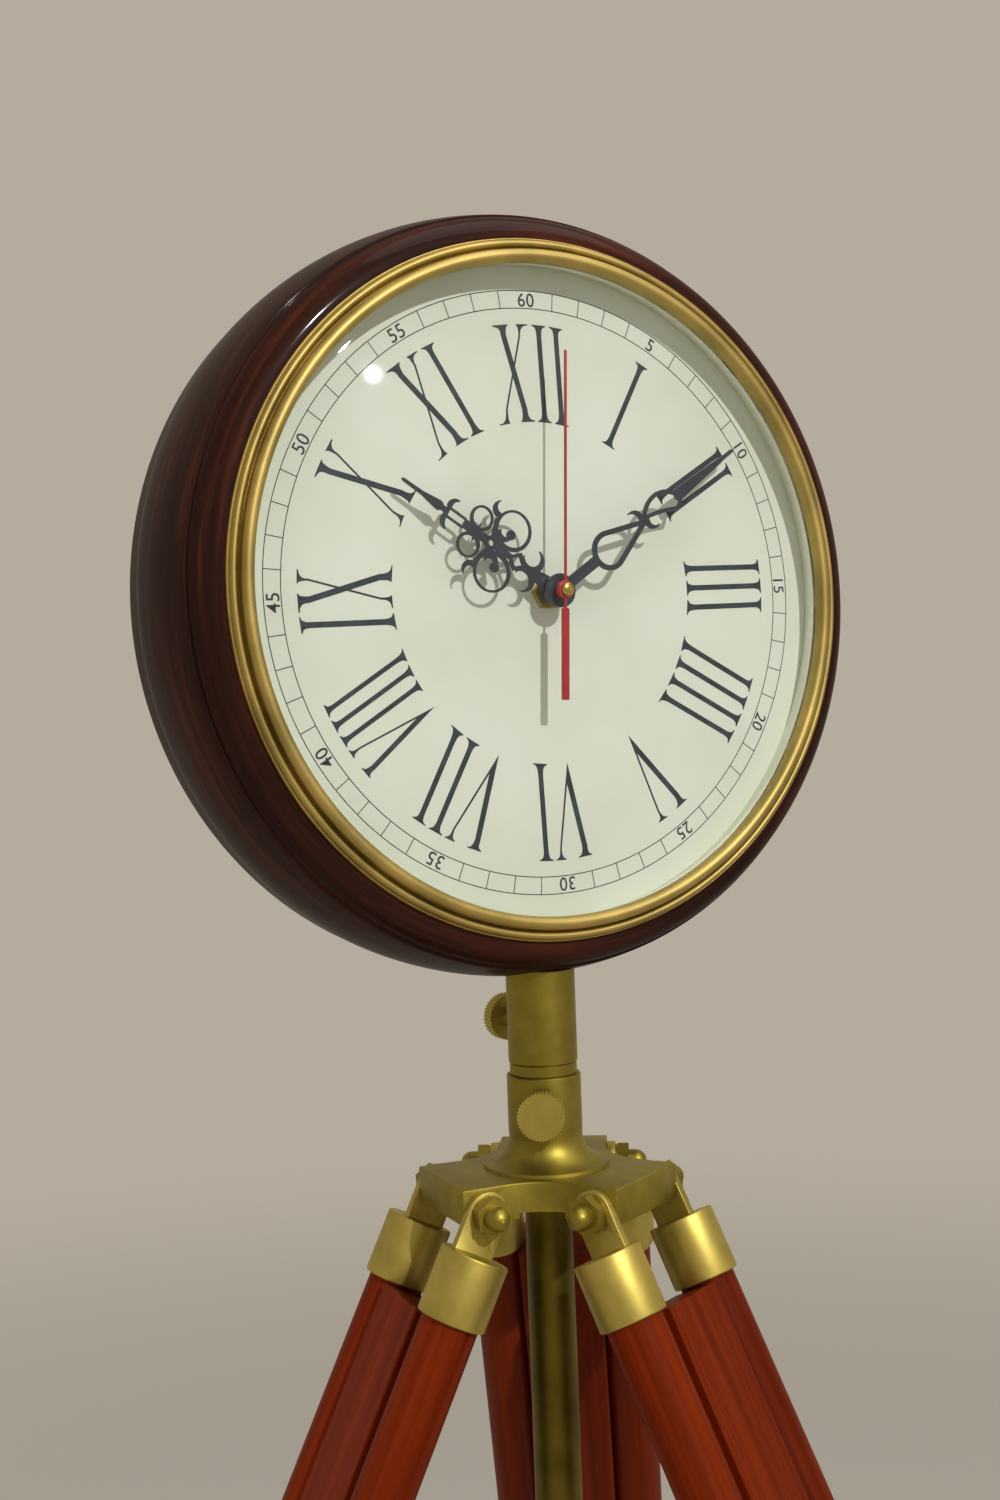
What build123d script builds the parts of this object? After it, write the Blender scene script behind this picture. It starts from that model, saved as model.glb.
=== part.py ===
"""Tripod floor clock: a round quartz clock in a turned wooden case, on a brass pole and folding legs.

Lengths are in millimetres and angles in degrees. The origin is on the pole's axis at floor level, +Z is up,
and the dial faces -Y. The legs stand spread and extended, as in use.
"""

import os
from math import asin, cos, degrees, radians, sin, tan

from build123d import *

# Fits and small edges
running_gap = 0.05
touch_gap = 0.15
edge_break = 0.4
cut_overrun = 1.0
hexagon_sides = 6

# Centre pole
pole_diameter = 19.05
pole_wall = 1.5
pole_below_plate = 300.0
pole_in_collar = 28.0
plug_flange = 3.0
plug_depth = 12.0

# Tripod head: a three-armed plate with a flared boss
plate_thickness = 14.0
plate_recess_depth = 2.6
plate_recess_diameter = 66.0
arm_reach = 46.4
arm_width = 45.3
arm_side_length = 17.5
boss_diameter = 29.8
boss_height = 36.4
flare_diameter = 50.8
flare_height = 13.7
flare_lip = 1.2
flare_hollow = 3.8
leg_names = ("left", "right", "back")
first_leg_azimuth = 175.6

# Stop ring and swivel collar
ring_diameter = 27.0
ring_height = 4.8
collar_diameter = 27.8
collar_length = 37.3

# Hinge bolts of the legs
hinge_reach = 37.7
hinge_drop = 9.0
hinge_bolt_diameter = 6.0
hinge_bolt_in_nut = 7.0
washer_diameter = 14.0
washer_thickness = 1.0
nut_across_flats = 13.0
nut_height = 4.6
dome_diameter = 9.4
dome_neck = 2.8

# Thumbscrews
knob_diameter = 19.2
knob_thickness = 6.0
knob_shank_diameter = 8.0
knob_screw_diameter = 6.0
knob_notch_diameter = 1.1
knob_notches = 40
pole_knob_above_plate = 23.0
pole_knob_azimuth = 235.6
pole_knob_standoff = 1.3
collar_knob_below_seat = 23.0
collar_knob_azimuth = 90.0
collar_knob_standoff = 12.1

# Legs, measured down the leg from the hinge bolt
leg_tilt = 25.9
ferrule_drop = 15.8
ferrule_diameter = 26.8
ferrule_length = 25.3
ferrule_cap = 4.0
tongue_width = 16.5
tongue_thickness = 3.6
bar_diameter = 22.4
bar_spacing = 55.9
bar_length = 480.0
bar_flat_reach = 10.25
bar_flat_start = 1.0
spacer_length = 175.0
board_length = 520.0
board_overlap = 130.0
board_side_gap = 0.3
board_edge_round = 0.8
board_slim = 2.4

# Clamp band at the lower end of the bars
band_wall = 2.6
band_height = 36.0
band_below_bars = 6.0
band_boss_diameter = 15.0
band_boss_height = 5.0
band_rivet_diameter = 6.0
band_rivet_height = 1.2
band_knob_standoff = 1.5

# Feet
foot_ferrule_wall = 2.0
foot_ferrule_height = 40.0
foot_ferrule_cap = 4.0
foot_neck_diameter = 24.0
foot_diameter = 34.0
foot_height = 29.2
foot_rim_height = 12.0
foot_swell_share = 0.125
foot_stem_diameter = 10.0

# Case, turned in two rings; heights are in front of the dial plane, depths are behind it
dial_to_pole = 16.3
dial_seat_radius = 133.0
case_undercut = 3.0
case_wall = 16.5
case_seat_inset = 3.0
case_step_inset = 4.3
case_step_depth = 0.4
case_groove_width = 1.3
case_groove_height = 1.2
case_seam_depth = 41.0
case_seam_break = 0.5
case_side_bulge = 2.0
case_back_shoulder_inset = 0.7
case_back_shoulder_depth = 52.0
case_back_inset = 5.5
case_back_round = 1.4
case_back_depth = 57.0
case_front_height = 8.8
case_front_land = 3.6
case_front_bulge = 1.9
case_shelf_width = 11.0
case_shelf_depth = 7.0
back_cover_inset = 2.0
back_cover_ledge = 7.0
back_cover_thickness = 4.0
back_screw_diameter = 3.0
back_screw_head_diameter = 6.0
back_screw_head_height = 1.6
back_screw_slot = 0.8
back_screw_length = 8.0
back_screw_count = 4
back_screw_turn = 45.0
head_bolt_diameter = 8.0
head_bolt_across_flats = 13.0
head_bolt_head = 5.5
head_bolt_pad_depth = 1.0
head_bolt_pad_diameter = 17.0
head_bolt_in_collar = 7.5

# Bezel, glass, inner rim and dial
bezel_flange = 3.2
bezel_outer_bead_inset = 0.6
bezel_inner_bead_inset = 1.5
bezel_inner_bead_width = 5.0
bezel_inner_bead_height = 5.0
bezel_base = 1.8
glass_rim_gap = 1.4
glass_dome_inset = 0.5
glass_thickness = 2.0
glass_rise = 17.0
dial_rim_foot_width = 4.3
dial_rim_top_inset = 0.5
dial_rim_height = 8.0
dial_thickness = 1.0

# Movement
movement_side = 56.0
movement_corner = 4.0
movement_wall = 1.5
movement_depth = 16.5
movement_lid_thickness = 1.5
bushing_diameter = 8.0
bushing_height = 5.0
movement_nut_across_flats = 12.0
movement_nut_height = 2.6
battery_diameter = 14.0
battery_length = 49.0
battery_tip_diameter = 5.5
battery_tip_length = 1.5
battery_shelf = 1.2
circuit_width = 17.0
circuit_length = 16.0
circuit_thickness = 1.2
coil_diameter = 5.6
coil_length = 13.0
coil_lift = 0.4
coil_post_width = 4.0
coil_post_thickness = 1.4

# Wheels: tooth counts, modules and the depths of their front faces
motion_module = 0.5
cannon_teeth = 10
motion_teeth = 30
motion_pinion_teeth = 8
hour_teeth = 32
setting_teeth = 12
setting_step = 19
second_pinion_teeth = 8
third_teeth = 60
third_module = 0.36
third_pinion_teeth = 8
third_wheel_turn = 30.0
centre_teeth = 64
second_wheel_teeth = 30
second_wheel_module = 0.4
tooth_pitch_share = 0.42
tooth_add_share = 0.8
tooth_root_share = 1.15
tooth_pressure = 20.0
wheel_thickness = 1.1
wheel_level_gap = 0.4
wide_level_gap = 0.8
third_level_gap = 1.2
hour_tube_diameter = 5.0
minute_arbor_diameter = 3.6
second_arbor_diameter = 1.0
third_arbor_diameter = 1.4
motion_post_diameter = 2.0
setting_arbor_diameter = 2.4
setting_knob_diameter = 10.0
setting_knob_height = 4.0
setting_knob_notches = 20

# Hands: heights are in front of the dial plane
hand_thickness = 0.8
hour_hand_length = 77.2
hour_hand_angle = -57.8
hour_hand_height = 7.5
hour_hub_diameter = 12.0
minute_hand_tip_gap = 22.5
minute_hand_angle = 55.3
minute_hand_height = 10.0
minute_hub_diameter = 13.3
minute_hub_height = 1.0
second_hand_tip_gap = 33.5
second_hand_tail = 42.8
second_hand_angle = 2.4
second_hand_height = 14.0
second_hand_thickness = 0.6
second_hand_width = 1.0
second_tail_width = 3.3
second_tail_start = 7.0
second_boss_diameter = 7.0
second_boss_height = 2.8
second_cap_diameter = 5.0
second_cap_height = 2.0
hand_strip_width = 1.7
hand_rail_width = 0.9
hand_spine_width = 2.4
hand_wide_spine_width = 3.4
minute_arm_width = 4.4
minute_loop_width = 2.1

# Radii of the case, the bezel and the dial, from the seat of the dial outwards and inwards
case_inside_radius = dial_seat_radius + case_undercut
case_seam_radius = case_inside_radius + case_wall
case_seat_radius = case_seam_radius - case_seat_inset
case_step_radius = case_seam_radius - case_step_inset
case_back_shoulder_radius = case_seam_radius - case_back_shoulder_inset
case_back_radius = case_seam_radius - case_back_inset
case_front_radius = dial_seat_radius + case_front_land
case_shelf_radius = dial_seat_radius - case_shelf_width
back_cover_radius = case_inside_radius - back_cover_inset
back_opening_radius = back_cover_radius - back_cover_ledge
bezel_outer_radius = dial_seat_radius + bezel_flange
bezel_outer_bead_radius = dial_seat_radius - bezel_outer_bead_inset
bezel_inner_bead_radius = dial_seat_radius - bezel_inner_bead_inset
bezel_inner_radius = bezel_inner_bead_radius - bezel_inner_bead_width
glass_radius = dial_seat_radius - glass_rim_gap
glass_dome_radius = bezel_inner_radius - glass_dome_inset
dial_visible_radius = dial_seat_radius - dial_rim_foot_width
dial_rim_top_radius = bezel_inner_radius + dial_rim_top_inset
minute_hand_length = bezel_inner_radius - minute_hand_tip_gap
second_hand_length = bezel_inner_radius - second_hand_tip_gap

# Places worked out from the sizes above
leg_step = 360 / len(leg_names)
leg_azimuths = {name: first_leg_azimuth + leg_step * turn for turn, name in enumerate(leg_names)}
ferrule_bottom = ferrule_drop + ferrule_length
bar_top = ferrule_drop + ferrule_cap
bar_bottom = bar_top + bar_length
board_top = bar_bottom - board_overlap
board_bottom = board_top + board_length
foot_top = board_bottom + foot_ferrule_cap
leg_reach = foot_top + foot_height
hinge_height = leg_reach * cos(radians(leg_tilt))
plate_top_height = hinge_height + hinge_drop
boss_top_height = plate_top_height + boss_height
collar_base_height = boss_top_height + ring_height
case_seat_height = collar_base_height + collar_length
dial_height = case_seat_height + case_seat_radius
tongue_start = arm_width / 2 + touch_gap
bar_offset = bar_spacing / 2
bar_flat_offset = bar_offset - bar_flat_reach
board_width = 2 * (bar_flat_offset - board_side_gap)
board_depth = bar_diameter - board_slim
spacer_width = 2 * (bar_flat_offset - touch_gap)
spacer_bottom = ferrule_bottom + bar_flat_start + touch_gap + spacer_length
band_face = bar_diameter / 2 + band_wall
band_shoulder = band_face + band_boss_height
hour_wheel_depth = dial_thickness + movement_wall + wheel_level_gap
motion_wheel_depth = hour_wheel_depth + wheel_thickness + wheel_level_gap
centre_wheel_depth = motion_wheel_depth + wheel_thickness + wide_level_gap
third_wheel_depth = centre_wheel_depth + wheel_thickness + third_level_gap
second_wheel_depth = third_wheel_depth + wheel_thickness + wide_level_gap
movement_back = dial_thickness + movement_depth
lid_back = movement_back + movement_lid_thickness
shaft_play = 2 * running_gap
motion_distance = motion_module * (cannon_teeth + motion_teeth) / 2
third_distance = third_module * (second_pinion_teeth + third_teeth) / 2
centre_module = 2 * third_distance / (centre_teeth + third_pinion_teeth)
setting_distance = motion_module * (motion_teeth + setting_teeth) / 2
glass_front = dial_rim_height + glass_thickness
back_cover_depth = case_back_depth - back_cover_thickness
back_screw_radius = (back_opening_radius + back_cover_radius) / 2
head_bolt_seat = dial_height - case_inside_radius - head_bolt_pad_depth
battery_drop = movement_side / 2 - movement_wall - battery_diameter / 2 - running_gap

# Planes that carry the sub-parts
dial_centre = (0, -dial_to_pole, dial_height)
face_plane = Plane(origin=dial_centre, x_dir=(1, 0, 0), z_dir=(0, -1, 0))
profile_plane = Plane(origin=dial_centre, x_dir=(1, 0, 0), z_dir=(0, 0, -1))
dial_axis = Axis(dial_centre, (0, -1, 0))
plate_plane = Plane.XY.offset(plate_top_height)


def finish(piece, name):
    """Label a finished piece and write it as one STEP file."""
    piece.part.label = name
    export_step(piece.part, f"parts/{name}.step")


def radial_plane(azimuth, height):
    """A plane on the pole's axis at a height, whose z points outwards at the azimuth."""
    outwards = (cos(radians(azimuth)), sin(radians(azimuth)), 0)
    sideways = (-sin(radians(azimuth)), cos(radians(azimuth)), 0)
    return Plane(origin=(0, 0, height), x_dir=sideways, z_dir=outwards)


def leg_plane(azimuth):
    """The leg's own plane: origin on the hinge bolt, x along the bolt, y outwards, z up the leg."""
    outwards = Vector(cos(radians(azimuth)), sin(radians(azimuth)), 0)
    sideways = Vector(-sin(radians(azimuth)), cos(radians(azimuth)), 0)
    up_the_leg = Vector(0, 0, cos(radians(leg_tilt))) - outwards * sin(radians(leg_tilt))
    origin = outwards * hinge_reach + Vector(0, 0, hinge_height)
    return Plane(origin=origin, x_dir=-sideways, z_dir=up_the_leg)


# Tripod head


def make_tripod_head():
    """A plate of three straight-sided arms joined by hollow curves, and the flared boss on it."""
    corner_angle = radians(leg_step / 2)
    side_length = arm_reach - arm_width / 2 / tan(corner_angle)
    with BuildPart() as tripod_head:
        with BuildSketch(plate_plane) as outline:
            with PolarLocations(0, len(leg_names), start_angle=first_leg_azimuth):
                Rectangle(arm_reach, arm_width, align=(Align.MIN, Align.CENTER))
            corners = outline.vertices().sort_by(SortBy.DISTANCE)[: len(leg_names)]
            fillet(corners, (side_length - arm_side_length) * tan(corner_angle))
        extrude(amount=-plate_thickness)
        chamfer(tripod_head.edges().group_by(Axis.Z)[0], edge_break)
        chamfer(tripod_head.edges().group_by(Axis.Z)[-1], edge_break)
        with BuildSketch(plate_plane.offset(-plate_thickness)):
            Circle(plate_recess_diameter / 2)
        extrude(amount=plate_recess_depth, mode=Mode.SUBTRACT)
        with BuildSketch(Plane.XZ):
            with BuildLine():
                foot = (flare_diameter / 2, plate_top_height)
                lip = (flare_diameter / 2, plate_top_height + flare_lip)
                neck = (boss_diameter / 2, plate_top_height + flare_height)
                top = (boss_diameter / 2, boss_top_height - edge_break)
                brim = (boss_diameter / 2 - edge_break, boss_top_height)
                Line((0, plate_top_height), foot)
                Line(foot, lip)
                SagittaArc(lip, neck, flare_hollow)
                Polyline(neck, top, brim, (0, boss_top_height), (0, plate_top_height))
            make_face()
        revolve(axis=Axis.Z)
        with BuildSketch(plate_plane.offset(boss_height)):
            Circle(pole_diameter / 2 + running_gap)
        extrude(amount=-(boss_height + plate_thickness), mode=Mode.SUBTRACT)
        with BuildSketch(radial_plane(pole_knob_azimuth, plate_top_height + pole_knob_above_plate)):
            Circle(knob_screw_diameter / 2 + running_gap)
        extrude(amount=boss_diameter, mode=Mode.SUBTRACT)
        for azimuth in leg_azimuths.values():
            leg = leg_plane(azimuth)
            with BuildSketch(Plane(leg.origin, x_dir=leg.y_dir, z_dir=leg.x_dir)):
                Circle(hinge_bolt_diameter / 2 + running_gap)
            extrude(amount=arm_width, both=True, mode=Mode.SUBTRACT)
    finish(tripod_head, "tripod_head")


def make_hinge_hardware():
    """Bolt, washers and domed nuts of the three leg hinges, each kind as one group."""
    washer_start = tongue_start + tongue_thickness
    nut_start = washer_start + washer_thickness
    with BuildPart() as hinge_bolts:
        for azimuth in leg_azimuths.values():
            leg = leg_plane(azimuth)
            across = Plane(leg.origin, x_dir=leg.y_dir, z_dir=leg.x_dir)
            with BuildSketch(across):
                Circle(hinge_bolt_diameter / 2)
            extrude(amount=nut_start + hinge_bolt_in_nut, both=True)
    finish(hinge_bolts, "hinge_bolts")

    with BuildPart() as hinge_washers:
        for azimuth in leg_azimuths.values():
            leg = leg_plane(azimuth)
            for side in (-1, 1):
                across = Plane(leg.origin, x_dir=leg.y_dir, z_dir=leg.x_dir * side)
                with BuildSketch(across.offset(washer_start)):
                    Circle(washer_diameter / 2)
                    Circle(hinge_bolt_diameter / 2, mode=Mode.SUBTRACT)
                extrude(amount=washer_thickness)
    finish(hinge_washers, "hinge_washers")

    with BuildPart() as acorn_nuts:
        for azimuth in leg_azimuths.values():
            leg = leg_plane(azimuth)
            for side in (-1, 1):
                across = Plane(leg.origin, x_dir=leg.y_dir, z_dir=leg.x_dir * side)
                with BuildSketch(across.offset(nut_start)):
                    RegularPolygon(nut_across_flats / 2, hexagon_sides, major_radius=False)
                extrude(amount=nut_height)
                dome_base = nut_start + nut_height + dome_neck
                with BuildSketch(across.offset(nut_start + nut_height)):
                    Circle(dome_diameter / 2)
                extrude(amount=dome_neck)
                outline = Plane(leg.origin, x_dir=leg.y_dir, z_dir=leg.z_dir * -side)
                with BuildSketch(outline):
                    with BuildLine():
                        base = (0, dome_base)
                        rim = (dome_diameter / 2, dome_base)
                        tip = (0, dome_base + dome_diameter / 2)
                        Line(base, rim)
                        CenterArc(base, dome_diameter / 2, 0, 90)
                        Line(tip, base)
                    make_face()
                revolve(axis=Axis(leg.origin, leg.x_dir))
                with BuildSketch(across.offset(nut_start)):
                    Circle(hinge_bolt_diameter / 2)
                extrude(amount=hinge_bolt_in_nut, mode=Mode.SUBTRACT)
    finish(acorn_nuts, "acorn_nuts")


def make_thumbscrew(name, seat, tip, shoulder, standoff):
    """A thumbscrew along the seat's z: screw from tip to shoulder, shank, then a knurled disc."""
    disc_start = shoulder + standoff
    with BuildPart() as thumbscrew:
        with BuildSketch(seat.offset(tip)):
            Circle(knob_screw_diameter / 2)
        extrude(amount=disc_start - tip)
        with BuildSketch(seat.offset(shoulder + touch_gap)):
            Circle(knob_shank_diameter / 2)
        extrude(amount=standoff - touch_gap)
        with BuildSketch(seat.offset(disc_start)):
            Circle(knob_diameter / 2)
            with PolarLocations(knob_diameter / 2, knob_notches):
                Circle(knob_notch_diameter / 2, mode=Mode.SUBTRACT)
        extrude(amount=knob_thickness)
    finish(thumbscrew, name)


# Pole, stop ring and collar


def make_pole():
    pole_top = collar_base_height + pole_in_collar
    pole_bottom = plate_top_height - pole_below_plate
    with BuildPart() as centre_pole:
        with BuildSketch(Plane.XY.offset(pole_bottom)):
            Circle(pole_diameter / 2)
            Circle(pole_diameter / 2 - pole_wall, mode=Mode.SUBTRACT)
        extrude(amount=pole_top - pole_bottom)
    finish(centre_pole, "centre_pole")

    with BuildPart() as pole_end_plug:
        with BuildSketch(Plane.XY.offset(pole_bottom)):
            Circle(pole_diameter / 2)
        extrude(amount=-plug_flange)
        with BuildSketch(Plane.XY.offset(pole_bottom)):
            Circle(pole_diameter / 2 - pole_wall)
        extrude(amount=plug_depth)
        lower_rim = pole_end_plug.edges().filter_by(GeomType.CIRCLE).group_by(Axis.Z)[0]
        fillet(lower_rim, plug_flange / 2)
    finish(pole_end_plug, "pole_end_plug")

    with BuildPart() as stop_ring:
        with BuildSketch(Plane.XY.offset(boss_top_height)):
            Circle(ring_diameter / 2)
            Circle(pole_diameter / 2, mode=Mode.SUBTRACT)
        extrude(amount=ring_height)
        outer_rims = stop_ring.edges().filter_by(GeomType.CIRCLE).sort_by(SortBy.RADIUS)[-2:]
        chamfer(outer_rims, edge_break)
    finish(stop_ring, "stop_ring")


def make_swivel_collar():
    knob_plane = radial_plane(collar_knob_azimuth, case_seat_height - collar_knob_below_seat)
    with BuildPart() as swivel_collar:
        with BuildSketch(Plane.XY.offset(collar_base_height)):
            Circle(collar_diameter / 2)
        extrude(amount=collar_length)
        chamfer(swivel_collar.edges().group_by(Axis.Z)[0], edge_break)
        with BuildSketch(Plane.XY.offset(collar_base_height)):
            Circle(pole_diameter / 2 + running_gap)
        extrude(amount=pole_in_collar + edge_break, mode=Mode.SUBTRACT)
        with BuildSketch(Plane.XY.offset(case_seat_height)):
            Circle(head_bolt_diameter / 2)
        extrude(amount=-head_bolt_in_collar, mode=Mode.SUBTRACT)
        with BuildSketch(knob_plane):
            Circle(knob_screw_diameter / 2 + running_gap)
        extrude(amount=collar_diameter, mode=Mode.SUBTRACT)
    finish(swivel_collar, "swivel_collar")


# Legs


def make_leg_bar(name, leg, side):
    """A round bar whose inner side is flat, from below the ferrule to its lower end."""
    flat = bar_flat_offset * side
    inner = (bar_offset - bar_diameter) * side
    flat_top = -(ferrule_bottom + bar_flat_start)
    flat_end = -(bar_bottom + cut_overrun)
    ramp = bar_flat_offset - bar_offset + bar_diameter
    with BuildPart() as leg_bar:
        with BuildSketch(leg.offset(-bar_bottom)):
            with Locations((side * bar_offset, 0)):
                Circle(bar_diameter / 2)
        extrude(amount=bar_length)
        with BuildSketch(Plane(leg.origin, x_dir=leg.x_dir, z_dir=-leg.y_dir)):
            with BuildLine():
                Polyline(
                    (flat, flat_end),
                    (flat, flat_top),
                    (inner, flat_top + ramp),
                    (inner, flat_end),
                    close=True,
                )
            make_face()
        extrude(amount=bar_diameter, both=True, mode=Mode.SUBTRACT)
    finish(leg_bar, name)


def make_leg_ferrule(name, leg, side):
    """A brass cap on a bar's upper end, with a tongue that the hinge bolt passes through."""
    across = Plane(leg.origin, x_dir=leg.y_dir, z_dir=leg.x_dir * side)
    with BuildPart() as leg_ferrule:
        with BuildSketch(leg.offset(-ferrule_bottom)):
            with Locations((side * bar_offset, 0)):
                Circle(ferrule_diameter / 2)
        extrude(amount=ferrule_length)
        chamfer(leg_ferrule.edges().filter_by(GeomType.CIRCLE), edge_break)
        with BuildSketch(leg.offset(-ferrule_bottom)):
            with Locations((side * bar_offset, 0)):
                Circle(bar_diameter / 2)
        extrude(amount=ferrule_length - ferrule_cap, mode=Mode.SUBTRACT)
        with BuildSketch(Plane(across.origin, x_dir=-leg.z_dir, z_dir=across.z_dir).offset(tongue_start)):
            Circle(tongue_width / 2)
            Rectangle(ferrule_drop + ferrule_cap / 2, tongue_width, align=(Align.MIN, Align.CENTER))
            Circle(hinge_bolt_diameter / 2 + running_gap, mode=Mode.SUBTRACT)
        extrude(amount=tongue_thickness)
    finish(leg_ferrule, name)


def make_leg_spacer(name, leg):
    """A short board fixed between the two bars, from just below the ferrules."""
    with BuildPart() as leg_spacer:
        with BuildSketch(leg.offset(-spacer_bottom)):
            RectangleRounded(spacer_width, board_depth, board_edge_round)
        extrude(amount=spacer_length)
    finish(leg_spacer, name)


def clamp_boss_plane(leg):
    """The plane of a clamp band's thumbscrew: origin midway between the bars, z outwards."""
    middle = band_height / 2 - band_below_bars - bar_bottom
    return Plane(leg.origin + leg.z_dir * middle, x_dir=leg.x_dir, z_dir=leg.y_dir)


def make_clamp_band(name, leg):
    """A stadium-shaped band round both bars and the sliding board, with a boss for its thumbscrew."""
    band_foot = leg.offset(-(bar_bottom + band_below_bars))
    boss = clamp_boss_plane(leg)
    with BuildPart() as clamp_band:
        with BuildSketch(band_foot):
            SlotCenterToCenter(2 * bar_offset, 2 * band_face)
        extrude(amount=band_height)
        with BuildSketch(boss):
            Circle(band_boss_diameter / 2)
        extrude(amount=band_shoulder)
        with BuildSketch(boss):
            with GridLocations(2 * bar_offset, band_height / 2, 2, 2):
                Circle(band_rivet_diameter / 2)
        extrude(amount=band_face + band_rivet_height)
        with BuildSketch(band_foot):
            SlotCenterToCenter(2 * bar_offset, bar_diameter)
        extrude(amount=band_height, mode=Mode.SUBTRACT)
        with BuildSketch(boss):
            Circle(knob_screw_diameter / 2 + running_gap)
        extrude(amount=band_shoulder, mode=Mode.SUBTRACT)
    finish(clamp_band, name)


def make_lower_leg(side_name, leg):
    """Sliding board, its foot ferrule and the rubber foot, cut flat on the floor."""
    with BuildPart() as slide_board:
        with BuildSketch(leg.offset(-board_bottom)):
            RectangleRounded(board_width, board_depth, board_edge_round)
        extrude(amount=board_length)
    finish(slide_board, f"{side_name}_leg_slide_board")

    with BuildPart() as foot_ferrule:
        with BuildSketch(leg.offset(-foot_top)):
            outer_width = board_width + 2 * foot_ferrule_wall
            outer_depth = board_depth + 2 * foot_ferrule_wall
            RectangleRounded(outer_width, outer_depth, board_edge_round + foot_ferrule_wall)
        extrude(amount=foot_ferrule_height)
        with BuildSketch(leg.offset(-board_bottom)):
            RectangleRounded(board_width, board_depth, board_edge_round)
        extrude(amount=foot_ferrule_height, mode=Mode.SUBTRACT)
        with BuildSketch(leg.offset(-foot_top)):
            Circle(foot_stem_diameter / 2)
        extrude(amount=foot_ferrule_cap, mode=Mode.SUBTRACT)
    finish(foot_ferrule, f"{side_name}_leg_foot_ferrule")

    foot_overhang = foot_diameter / 2 * tan(radians(leg_tilt)) + cut_overrun
    with BuildPart() as foot:
        with BuildSketch(Plane(leg.origin, x_dir=leg.x_dir, z_dir=-leg.y_dir)):
            with BuildLine():
                waist = (foot_neck_diameter / 2, -foot_top)
                flank = (foot_diameter / 2, -leg_reach + foot_rim_height)
                foot_taper = foot_diameter - foot_neck_diameter
                swell_radius = foot_neck_diameter / 2 + foot_taper * foot_swell_share
                swell = (swell_radius, (waist[1] + flank[1]) / 2)
                Line((0, -foot_top), waist)
                ThreePointArc(waist, swell, flank)
                floor_end = -leg_reach - foot_overhang
                Polyline(flank, (foot_diameter / 2, floor_end), (0, floor_end), (0, -foot_top))
            make_face()
        revolve(axis=Axis(leg.origin, leg.z_dir))
        with BuildSketch(leg.offset(-foot_top)):
            Circle(foot_stem_diameter / 2)
        extrude(amount=foot_ferrule_cap)
        split(bisect_by=Plane.XY, keep=Keep.TOP)
    finish(foot, f"{side_name}_leg_foot")


# Case


def make_case_front_ring():
    groove_radius = case_step_radius - case_groove_width
    with BuildPart() as case_front_ring:
        with BuildSketch(profile_plane):
            with BuildLine():
                seam_edge = (case_seam_radius, -case_seam_depth + case_seam_break)
                step_edge = (case_step_radius, -case_step_depth)
                groove_edge = (groove_radius, case_groove_height)
                front_edge = (case_front_radius, case_front_height)
                Polyline(
                    front_edge,
                    (dial_seat_radius, case_front_height),
                    (dial_seat_radius, -dial_thickness),
                    (case_shelf_radius, -dial_thickness),
                    (case_shelf_radius, -case_shelf_depth),
                    (case_inside_radius, -case_shelf_depth),
                    (case_inside_radius, -case_seam_depth),
                    (case_seam_radius - case_seam_break, -case_seam_depth),
                    seam_edge,
                )
                SagittaArc(seam_edge, step_edge, -case_side_bulge)
                Polyline(step_edge, (groove_radius, -case_step_depth), groove_edge)
                SagittaArc(groove_edge, front_edge, -case_front_bulge)
            make_face()
        revolve(axis=dial_axis)
        with BuildSketch(Plane.XY.offset(case_seat_height)):
            Circle(collar_diameter / 2 + 2 * touch_gap)
        extrude(amount=-case_seat_radius, mode=Mode.SUBTRACT)
        with BuildSketch(Plane.XY.offset(head_bolt_seat)):
            Circle(head_bolt_pad_diameter / 2)
        extrude(amount=head_bolt_head, mode=Mode.SUBTRACT)
        with BuildSketch(Plane.XY.offset(case_seat_height)):
            Circle(head_bolt_diameter / 2)
        extrude(amount=head_bolt_seat - case_seat_height, mode=Mode.SUBTRACT)
    finish(case_front_ring, "case_front_ring")


def make_case_rear_ring():
    with BuildPart() as case_rear_ring:
        with BuildSketch(profile_plane):
            with BuildLine():
                shoulder = (case_back_shoulder_radius, -case_back_shoulder_depth)
                back_edge = (case_back_radius, -case_back_depth)
                lip_front = -back_cover_depth + back_cover_thickness
                Polyline(
                    back_edge,
                    (back_cover_radius, -case_back_depth),
                    (back_cover_radius, -back_cover_depth),
                    (back_opening_radius, -back_cover_depth),
                    (back_opening_radius, lip_front),
                    (case_inside_radius, lip_front),
                    (case_inside_radius, -case_seam_depth),
                    (case_seam_radius - case_seam_break, -case_seam_depth),
                    (case_seam_radius, -case_seam_depth - case_seam_break),
                    shoulder,
                )
                SagittaArc(shoulder, back_edge, case_back_round)
            make_face()
        revolve(axis=dial_axis)
        with BuildSketch(face_plane.offset(-back_cover_depth)):
            with PolarLocations(back_screw_radius, back_screw_count, start_angle=back_screw_turn):
                Circle(back_screw_diameter / 2)
        extrude(amount=back_screw_length - back_cover_thickness, mode=Mode.SUBTRACT)
    finish(case_rear_ring, "case_rear_ring")


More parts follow.
